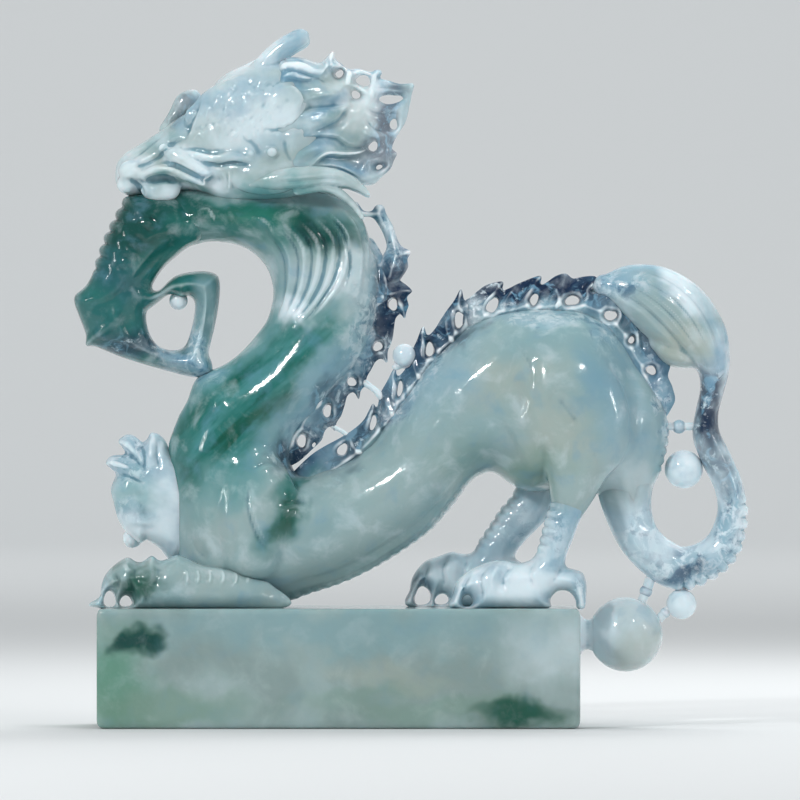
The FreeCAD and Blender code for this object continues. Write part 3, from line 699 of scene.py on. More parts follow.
scroll = {
    "edge": [
        (-27, 91), (-32, 91.6), (-36.4, 91.2), (-37.3, 89.8), (-38.6, 87.3), (-40, 84.5), (-41.1, 81.5),
        (-42.3, 78), (-43.6, 75.7), (-45.4, 74.1), (-45.5, 72.7), (-44.5, 70), (-43.5, 67.2),
        (-43.6, 65.3), (-42, 65.3), (-37, 63.3), (-30, 61.2), (-25, 60), (-22, 60.6), (-21.8, 62.4),
        (-22.4, 64), (-22, 66), (-21.4, 68.5), (-20.9, 71), (-20.5, 74), (-20.5, 76.6), (-21.2, 77.8),
        (-23.6, 78.3), (-27.2, 77.8), (-29, 76.8), (-31, 74.9), (-32.2, 75.3), (-31.2, 77.4),
        (-29.8, 79.2), (-28, 80.8), (-26, 82.3), (-23, 84), (-22.6, 88),
    ],
    "holes": [
        [(-33.1, 71.1), (-31.8, 72.3), (-29.6, 74), (-28.4, 74.2), (-27, 73.6), (-25.9, 74), (-24.9, 73.2),
         (-24.8, 71.5), (-25.4, 68.3), (-26.5, 65.4), (-28.2, 64.7), (-30, 64.9), (-31.6, 65.9),
         (-32.8, 68.2)],
    ],
    "voxel": 0.28, "rim": 5.6, "thinnest": 0.4, "step": 0.6, "rubs": 5,
    "half": lambda x, z, edge: np.interp(z, [62, 72, 86], [5.2, 6.0, 7.2]),
    "ribs": [
        ([(-35.9, 91), (-37.3, 89.4), (-39.4, 85.6), (-41, 81.5), (-42.3, 77.6)], 2.3, 0.7, 2.0),
        ([(-30.4, 88.4), (-33, 85.6), (-35.6, 81.8), (-38, 77)], 2.0, 0.4, 0.9),
    ],
    "strokes": [
        ([(-44.6, 73.4), (-41, 72.6), (-37.6, 74.4), (-35.6, 77)], (0.6, 1.6), 0.5),
        ([(-42.8, 66.4), (-39, 69), (-37.6, 72)], 0.8, -0.4),
        ([(-42, 66.4), (-38, 65.6), (-33, 63.8), (-27, 62.2)], 0.6, 0.4),
        ([(-34.2, 77.4), (-31, 80.6), (-27, 83.4)], 0.8, 0.4),
        ([(-36.6, 75.6), (-34, 79.6), (-30.4, 83.6)], 0.6, -0.3),
        ([(-37, 71), (-36, 67.6), (-33.6, 65.6)], (1.4, 0.6), 0.4),
        ([(-23, 65), (-22.4, 70), (-22.2, 75.4)], 0.5, 0.3),
        ([(-36, 86.6), (-33.4, 87.6), (-31, 86.8)], 0.5, 0.3),
        ([(-34, 83), (-31, 84.6), (-27.6, 85)], 0.6, -0.3),
    ],
}
cutSlab("scroll", scroll, scrollLook, "green_jade", "scroll_fall", "scroll_bend", "scroll_sill",
        "scroll_rise", "scroll_curl")

print("drawing out the tail")

tailShape = {
    "line": [
        (45, 0, 57, 5, 5), (49, 0, 51, 5.2, 5.4), (49.8, 0, 46, 5.4, 5.8), (49.2, 0, 40.8, 4.8, 5.5),
        (50.2, 0, 35.4, 3.9, 4.8), (52.6, 0, 31, 3.6, 4.4), (57.6, 0, 27.4, 3.8, 4.2),
        (62.2, 0, 28.1, 3.4, 4.1), (65.9, 0, 31, 3.1, 4.0), (67.6, 0, 36.4, 2.6, 3.9),
        (67, 0, 41.3, 2.5, 3.8), (65, 0, 45.8, 2.6, 3.7), (63.2, 0, 50, 2.4, 3.7), (63.3, 0, 54, 2.0, 3.7),
        (64.2, 0, 58, 2.1, 4.0), (64.3, 0, 62, 3.0, 4.8), (62.4, 0, 66.4, 4.8, 5.6),
        (58.6, 0, 70.2, 6.2, 6.2), (54, 0, 73.4, 6.0, 6.0), (49.6, 0, 75.2, 4.4, 5),
        (45.6, 0, 75.8, 2.0, 3.4),
    ],
    "tuft": [(62, 0, 64, 2.4, 3.4), (57.5, 0, 64.2, 2.4, 3.6), (54.6, 0, 66, 1.6, 2.6)],
    "tip": [(47, 0, 75.6, 1.6, 2.6), (43.2, 0, 75.6, 0.5, 0.9)],
    "voxel": 0.36, "rubs": 5,
    "fringe": [
        (57, 23.4), (61, 23.8), (64.6, 25.4), (67.2, 27.2), (68.8, 29.6), (70, 32.4), (70.3, 36),
        (69.9, 40),
    ],
    "hairOuter": [(66.2, 60), (66, 66), (62, 74), (54, 79), (46.5, 77)],
    "hairInner": [(61.4, 61.6), (58.4, 64), (54.6, 68), (50.4, 72), (45, 75.4)],
    "hairs": 9, "hairWidth": 0.55, "hairDepths": (0.5, 0.32),
    "strokes": [
        ([(50.8, 49), (50.2, 42), (51.6, 35.6), (55, 31.2)], 0.8, 0.3),
        ([(46.5, 40), (48.4, 34), (51.4, 29.2), (56, 26.2)], 0.7, 0.2),
        ([(66, 33.6), (67, 38), (66.2, 43)], 0.6, 0.25),
    ],
}
blanks = [limb("tailBlank", tailShape["line"], 36, 0.7), limb("tuftBlank", tailShape["tuft"]),
          limb("tipBlank", tailShape["tip"])]
tail = fuse("tail", blanks, tailShape["voxel"], tailShape["rubs"])
ribs(tail, tailShape["fringe"], 2.3, 0.8, 1.4)
hair = between(tailShape["hairOuter"], tailShape["hairInner"], tailShape["hairs"])[1:-1]
carve(tail, [(line, tailShape["hairWidth"], tailShape["hairDepths"][k % 2])
             for k, line in enumerate(hair)])
carve(tail, tailShape["strokes"])
settle(tail, tailLook, "clear_jade", "tail_root", "tail_bend", "tail_rise", "tail_top", "tail_tuft",
       "tail_fringe")

print("cutting the legs and feet")

# the near foreleg lies along the block
foreLeg = {
    "edge": [
        (-40.7, 20.4), (-40.7, 22.6), (-40.6, 24.4), (-40.0, 26.1), (-38.9, 27.4), (-37.4, 28.6),
        (-36, 29.2), (-34.6, 28.4), (-33.4, 28.5), (-32, 29.5), (-30.7, 28.6), (-29.4, 28.9),
        (-27.6, 29.6), (-26, 29.1), (-24, 28.1), (-22, 27.6), (-20, 27.3), (-18, 26.8), (-16, 25.9),
        (-14, 25.4), (-11.4, 24.4), (-10, 20.4),
    ],
    "holes": [
        [(-40, 20.9), (-40.1, 22.4), (-39.4, 23.5), (-38.5, 22.8), (-38.3, 20.9)],
        [(-37.4, 20.9), (-37.2, 22.2), (-36.2, 22.7), (-35.4, 21.6), (-35.6, 20.9)],
    ],
    "voxel": 0.26, "rim": 3.4, "thinnest": 0.5, "step": 0.6, "middle": -9.2, "rubs": 3,
    "half": lambda x, z, edge: np.interp(x, [-41, -36, -20, -15, -10], [4.2, 5.6, 5.4, 4.2, 1.4]),
    "lines": [([(x, 27.2), (x + 0.5, 26), (x + 0.3, 24.6)], 0.33, -0.42)
              for x in (-26.3, -24.4, -22.4, -20.2, -18, -16)],
    "strokes": [
        ([(-34.6, 28.6), (-34.8, 26.6), (-33.6, 24.4)], (0.5, 1.0), 0.6),
        ([(-30.6, 28.6), (-30.8, 26.2), (-31.8, 23.8)], (0.9, 0.5), 0.5),
        ([(-38.6, 27), (-37.8, 25.2), (-38.0, 23.2)], 0.5, 0.5),
        ([(-36, 26.4), (-35.4, 24.2), (-35.4, 21.6)], 0.5, 0.5),
        ([(-33.4, 24.6), (-32.8, 22.6), (-33, 21)], 0.5, 0.4),
        ([(-37, 28.2), (-35.8, 27.2), (-34.6, 27.6)], 0.5, -0.3),
    ],
}
cutSlab("foreLeg", foreLeg, bodyLook, "pale_jade", "near_foreleg", "near_forefoot")

# the far forepaw is raised before the chest, claws curled forward
raisedPaw = {
    "edge": [
        (-28.6, 47), (-29.8, 49.0), (-31.0, 50.2), (-32.4, 50.5), (-33.0, 49.4), (-33.9, 48.9),
        (-35, 49.8), (-36.4, 50.2), (-38.0, 49.1), (-37.3, 47.9), (-36.7, 46.8), (-38, 46.7),
        (-39.4, 46.4), (-40.2, 45.2), (-39.3, 44.3), (-38.4, 43.4), (-38.9, 42), (-39.3, 40.6),
        (-38.8, 38.4), (-38.2, 36), (-36.9, 33.6), (-35.6, 32.4), (-34, 31.4), (-33.2, 32), (-31, 30.7),
        (-29.7, 29.1), (-28.4, 28.4), (-24, 30), (-23, 38), (-25, 46),
    ],
    "holes": [],
    "voxel": 0.24, "rim": 3.0, "thinnest": 0.5, "step": 0.45, "middle": 1.6, "rubs": 2,
    "half": lambda x, z, edge: np.interp(z, [29, 40, 50], [4.0, 5.2, 3.4]),
    "strokes": [
        ([(-33.9, 48.8), (-33.4, 46.4), (-33.4, 43.6)], 0.45, 0.7),
        ([(-36.6, 46.9), (-35, 46), (-33.6, 44.4)], 0.4, 0.6),
        ([(-38.3, 43.4), (-36, 43), (-33.4, 41.8)], 0.45, 0.6),
        ([(-31, 49.6), (-31.2, 47), (-30.8, 44)], 0.45, 0.5),
        ([(-39, 40.4), (-36.4, 39.6), (-32.4, 40.2)], 0.8, 0.35),
        ([(-38, 37.4), (-35, 36.4), (-31.4, 37)], 0.8, 0.3),
        ([(-36.8, 34.4), (-34, 34), (-30.8, 34)], 0.7, 0.3),
        ([(-37.4, 48.8), (-36, 48), (-35, 46.8)], 0.35, -0.3),
        ([(-32, 49.8), (-32.4, 48), (-32.2, 46)], 0.35, -0.3),
        ([(-39.4, 45.4), (-37.6, 44.9), (-35.8, 44.4)], 0.35, -0.35),
    ],
}
cutSlab("raisedPaw", raisedPaw, legLook, "clear_jade", "far_foreleg", "raised_paw", "raised_front_claw",
        "raised_middle_claw", "raised_rear_claw")

nearHindLeg = {
    "edge": [
        (36, 48), (36.7, 44), (36.7, 41), (36.4, 38.6), (35.6, 36.5), (35.0, 34), (34.5, 32), (33.9, 30),
        (32.8, 28.7), (30.8, 28.2), (28.6, 28.7), (26.4, 28.6), (24.2, 27.8), (22, 26.7), (20.3, 25),
        (19.5, 22.8), (19.3, 20.4), (28, 20.3), (35.8, 20.4), (36.2, 22), (37.5, 23.4), (39.4, 23.3),
        (40.5, 21.9), (40.8, 20.4), (42.1, 20.4), (42.4, 22.6), (42.4, 24.8), (41.8, 26.5), (40.5, 27.1),
        (39, 27.5), (38.8, 28.6), (39.3, 30.4), (40, 32), (41.1, 35), (42.6, 38), (44.2, 42), (45, 48),
    ],
    "holes": [[(21.2, 20.9), (21.3, 22.3), (22.2, 22.8), (22.9, 21.9), (22.7, 20.9)]],
    "voxel": 0.26, "rim": 3.0, "thinnest": 0.5, "step": 0.6, "middle": -8.8, "rubs": 3,
    "half": lambda x, z, edge: np.interp(z, [21, 28, 42, 48], [4.6, 4.2, 3.9, 3.0]),
    "ribs": [([(37.2, 42), (36.6, 38.4), (35.7, 35), (34.9, 32), (34.0, 29.4)], 1.55, 0.38, 1.5)],
    "strokes": [
        ([(25.6, 28.4), (24.2, 26), (24.4, 23.2), (24, 21)], (0.5, 1.1), 0.6),
        ([(30, 28.4), (28.2, 26), (28.4, 23.4)], (0.5, 1.0), 0.55),
        ([(22.6, 27), (21.4, 24.6), (21.6, 22)], 0.45, 0.45),
        ([(33.4, 29), (32.6, 26.6), (33.4, 24)], (0.5, 1.0), 0.4),
        ([(38.8, 28), (37.6, 26.4), (36.4, 24.4)], 0.6, 0.4),
        ([(38.4, 42.6), (38.9, 41.2), (38.3, 40.4)], 0.7, -0.5),
        ([(27.4, 28), (26.2, 25.6), (26.6, 23)], 0.5, -0.3),
    ],
}
cutSlab("nearHindLeg", nearHindLeg, legLook, "pale_jade", "near_hind_leg", "near_hind_foot")

farHindLeg = {
    "edge": [
        (31.4, 47), (31, 43), (30.3, 40.6), (29.4, 39), (28, 37.5), (27, 36), (26, 34.5), (25, 33),
        (24, 31.5), (23.2, 30), (21.8, 29.5), (19.5, 29.9), (17, 29.1), (15, 28.4), (13.5, 26.9),
        (12.6, 25.4), (12.2, 23.4), (12.1, 20.4), (24, 20.3), (34.6, 20.4), (35, 24), (33, 26.6),
        (31.4, 28.1), (30.3, 28.9), (31.1, 30.6), (33, 32.7), (34.9, 34.6), (36.6, 37), (38, 41), (39, 47),
    ],
    "holes": [
        [(13.2, 20.9), (13.3, 22.6), (14.2, 24), (15.4, 23.2), (15.7, 21.6), (15, 20.9)],
        [(16.5, 21), (16.9, 22.3), (18.2, 22.7), (18.9, 21.6), (18.2, 20.9)],
    ],
    "voxel": 0.26, "rim": 3.0, "thinnest": 0.5, "step": 0.6, "middle": 5.6, "rubs": 3,
    "half": lambda x, z, edge: np.interp(z, [21, 28, 42, 47], [4.6, 4.2, 3.9, 3.0]),
    "ribs": [([(30.8, 41), (29.2, 38.2), (27.4, 35.8), (25.4, 32.8), (23.8, 30.2)], 1.7, 0.38, 1.5)],
    "strokes": [
        ([(19, 29.8), (17.8, 27.6), (18, 24.6), (17.4, 22.6)], (0.5, 1.0), 0.6),
        ([(15.2, 28.4), (14.8, 26.4), (14.4, 24)], 0.5, 0.45),
        ([(22.4, 29.4), (21.4, 27), (21, 24)], (0.5, 1.0), 0.5),
    ],
}
cutSlab("farHindLeg", farHindLeg, legLook, "pale_jade", "far_hind_leg", "far_hind_foot")

print("piercing the flames")

# flames are thin at the rim and thicken into the body
flame = {"voxel": 0.2, "rim": 1.1, "thinnest": 0.3, "step": 0.45, "rubs": 2,
         "half": lambda x, z, edge: 0.6 + 0.7 * edge}
napeCrest = {
    **flame,
    "edge": [
        (5.2, 84), (6.6, 82.6), (7.6, 80.8), (8.6, 79.2), (9.6, 78.4), (10.4, 76.8), (11.6, 75.9),
        (12.6, 74.8), (11.7, 73.8), (12.0, 72.4), (11.6, 71.2), (11.3, 70.0), (10.6, 70.9), (9.8, 70.2),
        (9.5, 68.6), (9.3, 67.0), (8.9, 65.6), (8.4, 64.4), (8.3, 62.4), (7.4, 63.2), (6.4, 62.8),
        (5.6, 61.4), (4.8, 60.0), (4.6, 58.6), (3.8, 57.8), (3.4, 56.2), (2.6, 57.4), (1.5, 56.9),
        (1.0, 55.2), (0.4, 53.4), (-0.4, 52.2), (-0.7, 50.6), (-1.4, 51.6), (-2.4, 50.8), (-3.0, 49.2),
        (-4.6, 47.6), (-7.4, 45.2), (-10.8, 44.4), (-11, 50.0), (-8.4, 56), (-4.6, 61), (-1.6, 66),
        (0.4, 71), (1.2, 77), (2, 82),
    ],
    "holes": [
        ellipse(9.3, 72.5, 1.5, 2.0, -20), ellipse(6.7, 65.3, 1.5, 1.6), ellipse(2.2, 59.2, 1.4, 1.6),
        ellipse(-2.0, 54.2, 1.4, 2.0, -15), ellipse(-6.4, 49.0, 1.5, 2.0, 10),
        ellipse(-4.3, 48.4, 0.5, 1.2, -35),
    ],
    "strokes": [
        ([(10.9, 70.6), (8.4, 73.6), (6.6, 77)], 0.5, 0.35),
        ([(7.9, 63.4), (6.6, 67.8), (5.6, 72)], 0.5, 0.35),
        ([(3.2, 57.2), (2.6, 62), (3.2, 67)], 0.5, 0.35),
        ([(-0.8, 51.4), (-2, 56.4), (-0.4, 61)], 0.5, 0.35), ([(7.4, 73), (8, 76), (7, 79.4)], 0.4, -0.3),
        ([(4.8, 66), (5.2, 70), (4.6, 74)], 0.4, -0.3), ([(0.4, 59.8), (1.4, 63), (1.6, 66.4)], 0.4, -0.3),
        ([(-4, 54), (-3, 57.6), (-2, 60)], 0.4, -0.3),
    ],
}
shoulderFins = {
    **flame,
    "edge": [
        (-10.4, 39.8), (-8.8, 42.6), (-6.8, 44.8), (-4.6, 46.8), (-2.4, 48.2), (0.2, 49.6), (2.4, 51.0),
        (4.2, 52.6), (5.2, 54.4), (5.9, 55.6), (6.5, 54.4), (6.8, 55.8), (7.2, 57.4), (8.2, 59.2),
        (9.6, 61.7), (10.0, 60.2), (11.0, 60.9), (11.9, 62.4), (12.6, 64.6), (13.4, 66.4), (14.5, 68.9),
        (15.2, 67.2), (16.4, 68.2), (17.4, 69.8), (18.6, 71.6), (19.8, 73.2), (21.0, 75.2), (21.6, 73.2),
        (22.8, 72.6), (23, 66.0), (17, 60), (10.8, 51.0), (5.0, 43.6), (-3, 38.4),
    ],
    "holes": [
        ellipse(0.6, 47.6, 1.4, 2.3, -20), ellipse(5.9, 52.2, 1.0, 2.6, -8),
        ellipse(10.5, 58.0, 0.9, 2.6, -10), ellipse(15.6, 64.8, 1.3, 2.5, -12),
        ellipse(20.7, 69.9, 1.4, 3.1, -6), ellipse(-7.7, 42.4, 0.6, 1.3, -40),
    ],
    "strokes": [
        ([(5.8, 54.8), (7.4, 51.4), (10.4, 49)], 0.5, 0.3),
        ([(9.6, 60.8), (11.6, 57), (14, 55)], 0.5, 0.3),
        ([(14.4, 67.8), (16.6, 63.6), (19, 62)], 0.5, 0.3), ([(20.8, 74), (22, 70.6), (24, 68)], 0.5, 0.3),
        ([(7.8, 57.6), (8.8, 54.2), (11, 52)], 0.4, -0.3),
        ([(12.6, 64.4), (13.4, 60.6), (15.6, 58.4)], 0.4, -0.3),
        ([(18.4, 70.8), (18.8, 67.4), (20.6, 65)], 0.4, -0.3),
        ([(1.8, 50), (3, 47.4), (6, 46.4)], 0.4, -0.3),
    ],
}
backFins = {
    **flame,
    "edge": [
        (21.6, 72.6), (22.4, 73.6), (23.8, 74.8), (25.4, 75.9), (28.2, 76.5), (28.1, 75.0), (29.4, 75.4),
        (31.2, 76.3), (34.7, 77.5), (34.6, 75.9), (35.8, 76.4), (37.2, 77.4), (39.0, 77.9), (40.2, 77.0),
        (41.8, 77.3), (44.0, 77.4), (45.2, 76.4), (47.4, 76.4), (50, 73.6), (52.4, 70.6), (54.2, 68.6),
        (54.6, 66), (56, 64.4), (57, 62.2), (56.6, 60.2), (57.4, 58.2), (57.6, 55.4), (54, 52), (48, 60),
        (44, 66), (38, 68), (30, 68), (22, 66.4),
    ],
    "holes": [
        ellipse(26.4, 72.4, 1.5, 3.1, -30), ellipse(33.6, 73.4, 1.1, 2.3, -28),
        ellipse(40.1, 73.2, 2.2, 1.6, 20), ellipse(44.9, 75.0, 2.6, 0.8, 4),
        ellipse(46.7, 70.6, 2.0, 1.6, 20), ellipse(50.3, 66.4, 1.0, 1.2), ellipse(53.7, 61.2, 1.7, 1.4),
    ],
    "strokes": [
        ([(27.6, 76), (25.4, 74), (24, 71)], 0.45, 0.3),
        ([(34.2, 76.8), (31.8, 74.8), (30.4, 72)], 0.45, 0.3),
        ([(38.6, 77.4), (36.6, 75), (35.8, 72.4)], 0.45, 0.3),
        ([(43.6, 77), (42, 75.2), (42.4, 72.6)], 0.45, 0.3),
        ([(30.6, 75.4), (29, 73.6), (28.2, 71)], 0.4, -0.3),
        ([(37, 76), (37.8, 73.4), (37, 71)], 0.4, -0.3),
        ([(48, 74.4), (49, 71.6), (48.4, 68.4)], 0.45, 0.35),
        ([(52.4, 69.8), (52, 67), (52.4, 64)], 0.45, 0.35),
    ],
}
cutSlab("napeCrest", napeCrest, clearLook, "clear_jade", "nape_crest", "shoulder_crest")
cutSlab("shoulderFins", shoulderFins, clearLook, "clear_jade", "shoulder_fins")
cutSlab("backFins", backFins, clearLook, "clear_jade", "back_fins", "rump_fins")

napeCurl = {
    "edge": [
        (3.0, 90.2), (4.2, 88.7), (5.6, 88.6), (6.4, 89.6), (7.6, 89.5), (8.2, 88), (9.4, 85.8),
        (10.2, 83.4), (11.0, 82.4), (12.4, 81.6), (11.8, 80.4), (11.9, 79), (11.0, 77.4), (9.6, 75.8),
        (7.4, 76), (6.8, 79.2), (7.6, 81), (8.2, 82.4), (7.8, 84.2), (6.9, 86), (5.8, 87.4), (4.4, 87.6),
        (2.6, 87.8), (1.6, 89.6),
    ],
    "holes": [],
    "voxel": 0.18, "rim": 1.0, "thinnest": 0.35, "step": 0.4,
    "half": lambda x, z, edge: 1.2 + 0.6 * edge,
    "strokes": [([(7, 88.4), (8.6, 85), (9.2, 81)], 0.35, 0.25)],
}
cutSlab("napeCurl", napeCurl, clearLook, "clear_jade", "nape_curl")

# small struts where flames and pearls touch: stations, sides and step
strutShape = {
    "voxel": 0.2, "rubs": 3,
    "rows": [
        ([(4.2, 0, 59.2, 0.7, 0.9), (6.0, 0, 58.0, 0.55, 0.7), (7.4, 0, 56.6, 0.8, 0.9)], 12, 0.3),
        ([(-1.0, 0, 51.6, 0.5, 0.6), (0.4, 0, 50.8, 0.4, 0.5), (1.8, 0, 49.8, 0.5, 0.6)], 12, 0.3),
        ([(9.8, 0, 61.8, 0.7, 0.8), (10.8, 0, 62.4, 0.9, 1.0), (12.6, 0, 62.2, 0.8, 0.9)], 12, 0.3),
        ([(56.4, 0, 51.6, 0.7, 0.8), (58.5, 0, 51.5, 0.7, 0.8), (61.4, 0, 51.6, 0.7, 0.8)], 12, 0.3),
        ([(40.6, 0, 15.8, 4.6, 4.6), (42.6, 0, 15.8, 2.6, 2.6), (44.6, 0, 15.8, 3.6, 3.6)], 20, 0.3),
        ([(55.0, 0, 18.4, 0.8, 0.8), (56.4, 0, 19.8, 0.8, 0.8), (57.6, 0, 20.6, 0.9, 0.9)], 12, 0.3),
        ([(52.0, 0, 21.4, 0.8, 0.8), (52.9, 0, 23.4, 0.9, 0.9), (53.6, 0, 25.4, 0.9, 0.9)], 12, 0.3),
        ([(58.6, 0, 22.4, 0.9, 0.9), (58.8, 0, 24, 0.9, 0.9)], 12, 0.3),
    ],
}
blanks = [limb("strutBlank", *row) for row in strutShape["rows"]]
struts = fuse("struts", blanks, strutShape["voxel"], strutShape["rubs"])
settle(struts, pearlLook, "clear_jade")

print("shaping the head")

headShape = {
    "edge": [
        (-38.5, 94.2), (-38.4, 96), (-37.8, 97.4), (-36.5, 98.8), (-35, 99.7), (-33, 100.9), (-31, 102.2),
        (-28.6, 104), (-26.4, 105.4), (-24.8, 106.4), (-23.7, 107.8), (-22.2, 109.4), (-21, 110.9),
        (-19.4, 112.3), (-16, 113.9), (-13.6, 115), (-10, 115), (-6.4, 113.8), (-3.6, 111), (-2, 107),
        (-1.5, 102), (-2.5, 97), (-4, 92.6), (-8, 90.4), (-14, 89.8), (-20, 90), (-22.6, 91),
        (-24.6, 91.9), (-26.8, 92.2), (-28.4, 91.4), (-29.6, 90.4), (-31.2, 89.9), (-32.6, 90.4),
        (-33.8, 91.4), (-35.2, 91.1), (-36.8, 91.4), (-37.9, 92.4),
    ],
    "skullVoxel": 0.35, "rim": 6.4, "thinnest": 0.5, "step": 0.8,
    "half": lambda x, z, edge: np.interp(x, [-38.5, -35, -30, -24, -16, -8, -2],
                                         [4.0, 4.8, 5.6, 7.2, 9.0, 9.6, 8.6]),
    "voxel": 0.27, "rubs": 9,
    # the far side's blanks: balls have a centre and radii, limbs have stations, sides and step
    "sides": [
        (ball, "nostrilBlank", (-35.6, 3.6, 95.4), (2.3, 1.7, 2.0)),
        (ball, "noseTip", (-36.6, 2.6, 93.2), (1.6, 1.6, 1.6)),
        (limb, "lipBlank", [(-33.4, 4.4, 94.6, 0.9, 1.2), (-31.6, 5.2, 95.4, 1.0, 1.3),
                            (-29.4, 5.8, 95.7, 1.0, 1.3), (-27, 6.4, 94.9, 1.0, 1.2),
                            (-24.8, 6.8, 93.9, 0.8, 1.0), (-23.2, 7, 93.2, 0.5, 0.8)], 18, 0.5),
        (ball, "lobeBlank", (-30.6, 3.5, 92.3), (3.5, 1.9, 2.3)),
        (limb, "cheekFold", [(-30, 4.8, 99.2, 1.0, 1.2), (-28, 5.6, 98, 1.5, 1.6),
                             (-25.4, 6.4, 96.4, 1.4, 1.6), (-22.6, 7.2, 94.9, 0.9, 1.2)], 18, 0.6),
        (limb, "browBlank", [(-24.6, 4.6, 104, 2.6, 1.8), (-20, 5.4, 105.4, 5, 2.8),
                             (-14, 6.0, 105.8, 6.2, 3.2), (-9.6, 6.6, 103.6, 4, 3.0)], 24, 0.7),
        (limb, "lidBlank", [(-25, 6.2, 98.2, 0.6, 0.9), (-21.6, 7.4, 97.7, 1.1, 1.2),
                            (-17.6, 8.2, 97.6, 0.9, 1.2), (-15, 8.8, 97.2, 0.5, 0.8)], 18, 0.5),
        (ball, "cheekBlank", (-12.6, 7.2, 94.6), (6.4, 2.6, 3.4)),
        (ball, "wart", (-15, 9.0, 98.3), (0.8, 0.8, 0.75)),
        (ball, "wart", (-11.4, 9.9, 98.5), (0.95, 0.8, 0.9)),
        (limb, "earBlank", [(-13.4, 7.6, 104, 1.8, 1.2), (-10.4, 8.8, 106, 3.0, 1.2),
                            (-8.4, 9.2, 107.6, 2.7, 1.0), (-7.2, 9.4, 108.5, 1.9, 0.8)], 24, 0.5),
        (limb, "hornBlank", [(-14.6, 4.2, 111.2, 2.0, 2.0), (-12.6, 4.5, 113.6, 1.9, 2.0),
                             (-10.8, 4.8, 115.5, 1.8, 1.9), (-8.8, 5.1, 117.0, 1.75, 1.8),
                             (-6.6, 5.3, 118.2, 1.7, 1.8)], 20, 0.6),
    ],
    "strokes": [
        ([(-35.6, 97.4), (-33.6, 98.9), (-31.5, 100.7), (-30, 101.6)], 0.35, 0.35),
        ([(-35.4, 95.9), (-33, 96.9), (-31, 98), (-29.7, 99.6), (-28, 100.6), (-26.2, 100.9)], (0.35, 0.7),
         0.7),
        ([(-26.5, 100.6), (-25.9, 102.4), (-24.8, 105), (-23.9, 107.6)], (0.9, 0.35), 0.7),
        ([(-36.6, 94), (-35, 93.4), (-33.9, 92), (-33.6, 91)], 0.45, 0.55),
        ([(-33.4, 93.8), (-31.4, 93.9), (-29.4, 94.2), (-27.6, 93.2)], 0.7, 0.8),
        ([(-30.6, 96.6), (-28.2, 96.4), (-26, 95.3), (-23.4, 94)], 0.35, 0.6),
        ([(-26.6, 99.2), (-24, 98.9), (-21.6, 98.4), (-19.2, 98.6)], (0.8, 0.3), 0.55),
        ([(-23.2, 96.9), (-20.8, 96.2), (-18.2, 96.6), (-15.6, 96.4)], 0.3, 0.6),
        ([(-23.8, 93.6), (-21.4, 93.4), (-19.6, 94)], 1.1, 0.6),
        ([(-18.7, 95.4), (-18.6, 94), (-18.8, 92)], 0.3, -0.4),
        ([(-27.6, 91.8), (-24, 91.4), (-21, 90.4)], 0.5, 0.4),
        ([(-13, 102.6), (-10, 102.4), (-6.6, 104), (-4.9, 107), (-5, 109.4)], (0.4, 0.9), 0.6),
        ([(-11.4, 105.4), (-9.6, 106.6), (-8, 108.2)], 1.0, 0.35),
        ([(-12.4, 109), (-10, 110.8), (-7.4, 111.2)], (0.9, 0.4), 0.5),
        ([(-17, 101.4), (-14.2, 99.6), (-13.2, 97)], 0.7, 0.4),
        ([(-9.4, 101.6), (-9, 98.6), (-7.4, 96)], 0.7, 0.4),
        ([(-16.4, 110.6), (-13, 109.6), (-11.6, 112.4)], 0.8, 0.35),
        ([(-20, 109), (-18.2, 107.2), (-17.4, 104.8)], 1.0, -0.25),
    ],
    "dabs": 320, "seed": 7, "dabWidth": 0.28, "dabDepths": (0.05, -0.12),
}
blanks = [relief("skullBlank", headShape["edge"], [], headShape["skullVoxel"], headShape["rim"],
                 headShape["half"], headShape["thinnest"], headShape["step"])]
for side in (-1, 1):
    blanks += sided(headShape["sides"], side)
head = fuse("head", blanks, headShape["voxel"], headShape["rubs"])
carve(head, headShape["strokes"])
# soft fur on the brow: short dabs that fan back from the nose
chance = np.random.default_rng(headShape["seed"])
dabs = []
for _ in range(headShape["dabs"]):
    x, z = chance.uniform(-26, -9), chance.uniform(99.4, 111)
    if z < 99.8 + 0.16 * abs(x + 20) or z > 103 + 0.9 * (x + 27) or x > -11 and z > 103:
        continue
    lean = math.radians(chance.uniform(40, 80))
    reach = chance.uniform(0.5, 1.3)
    tip = (x + reach * math.cos(lean), z + reach * math.sin(lean))
    dabs.append(([(x, z), tip], headShape["dabWidth"], chance.choice(headShape["dabDepths"])))
carve(head, dabs)
settle(head, headLook, "white_jade", "skull", "snout", "near_horn", "far_horn", "near_ear", "far_ear")

browShape = {
    "voxel": 0.2, "rubs": 3,
    "rows": [
        ([(-29.6, 2.0, 102.6, 1.4, 1.5), (-28.2, 2.4, 105, 1.3, 1.4), (-26.6, 2.6, 107.2, 1.8, 1.6),
          (-25.2, 2.6, 108.1, 1.6, 1.5)], 20, 0.4),
        ([(-25.4, 2.6, 108.4, 1.2, 1.2), (-24.3, 2.6, 107.4, 0.7, 0.9), (-24.4, 2.6, 105.6, 0.6, 0.8)], 16,
         0.3),
    ],
}
blanks = [limb("crestBlank", *row) for row in browShape["rows"]]
browCrest = fuse("browCrest", blanks, browShape["voxel"], browShape["rubs"])
settle(browCrest, headLook, "white_jade", "brow_crest")

print("cutting the mane")

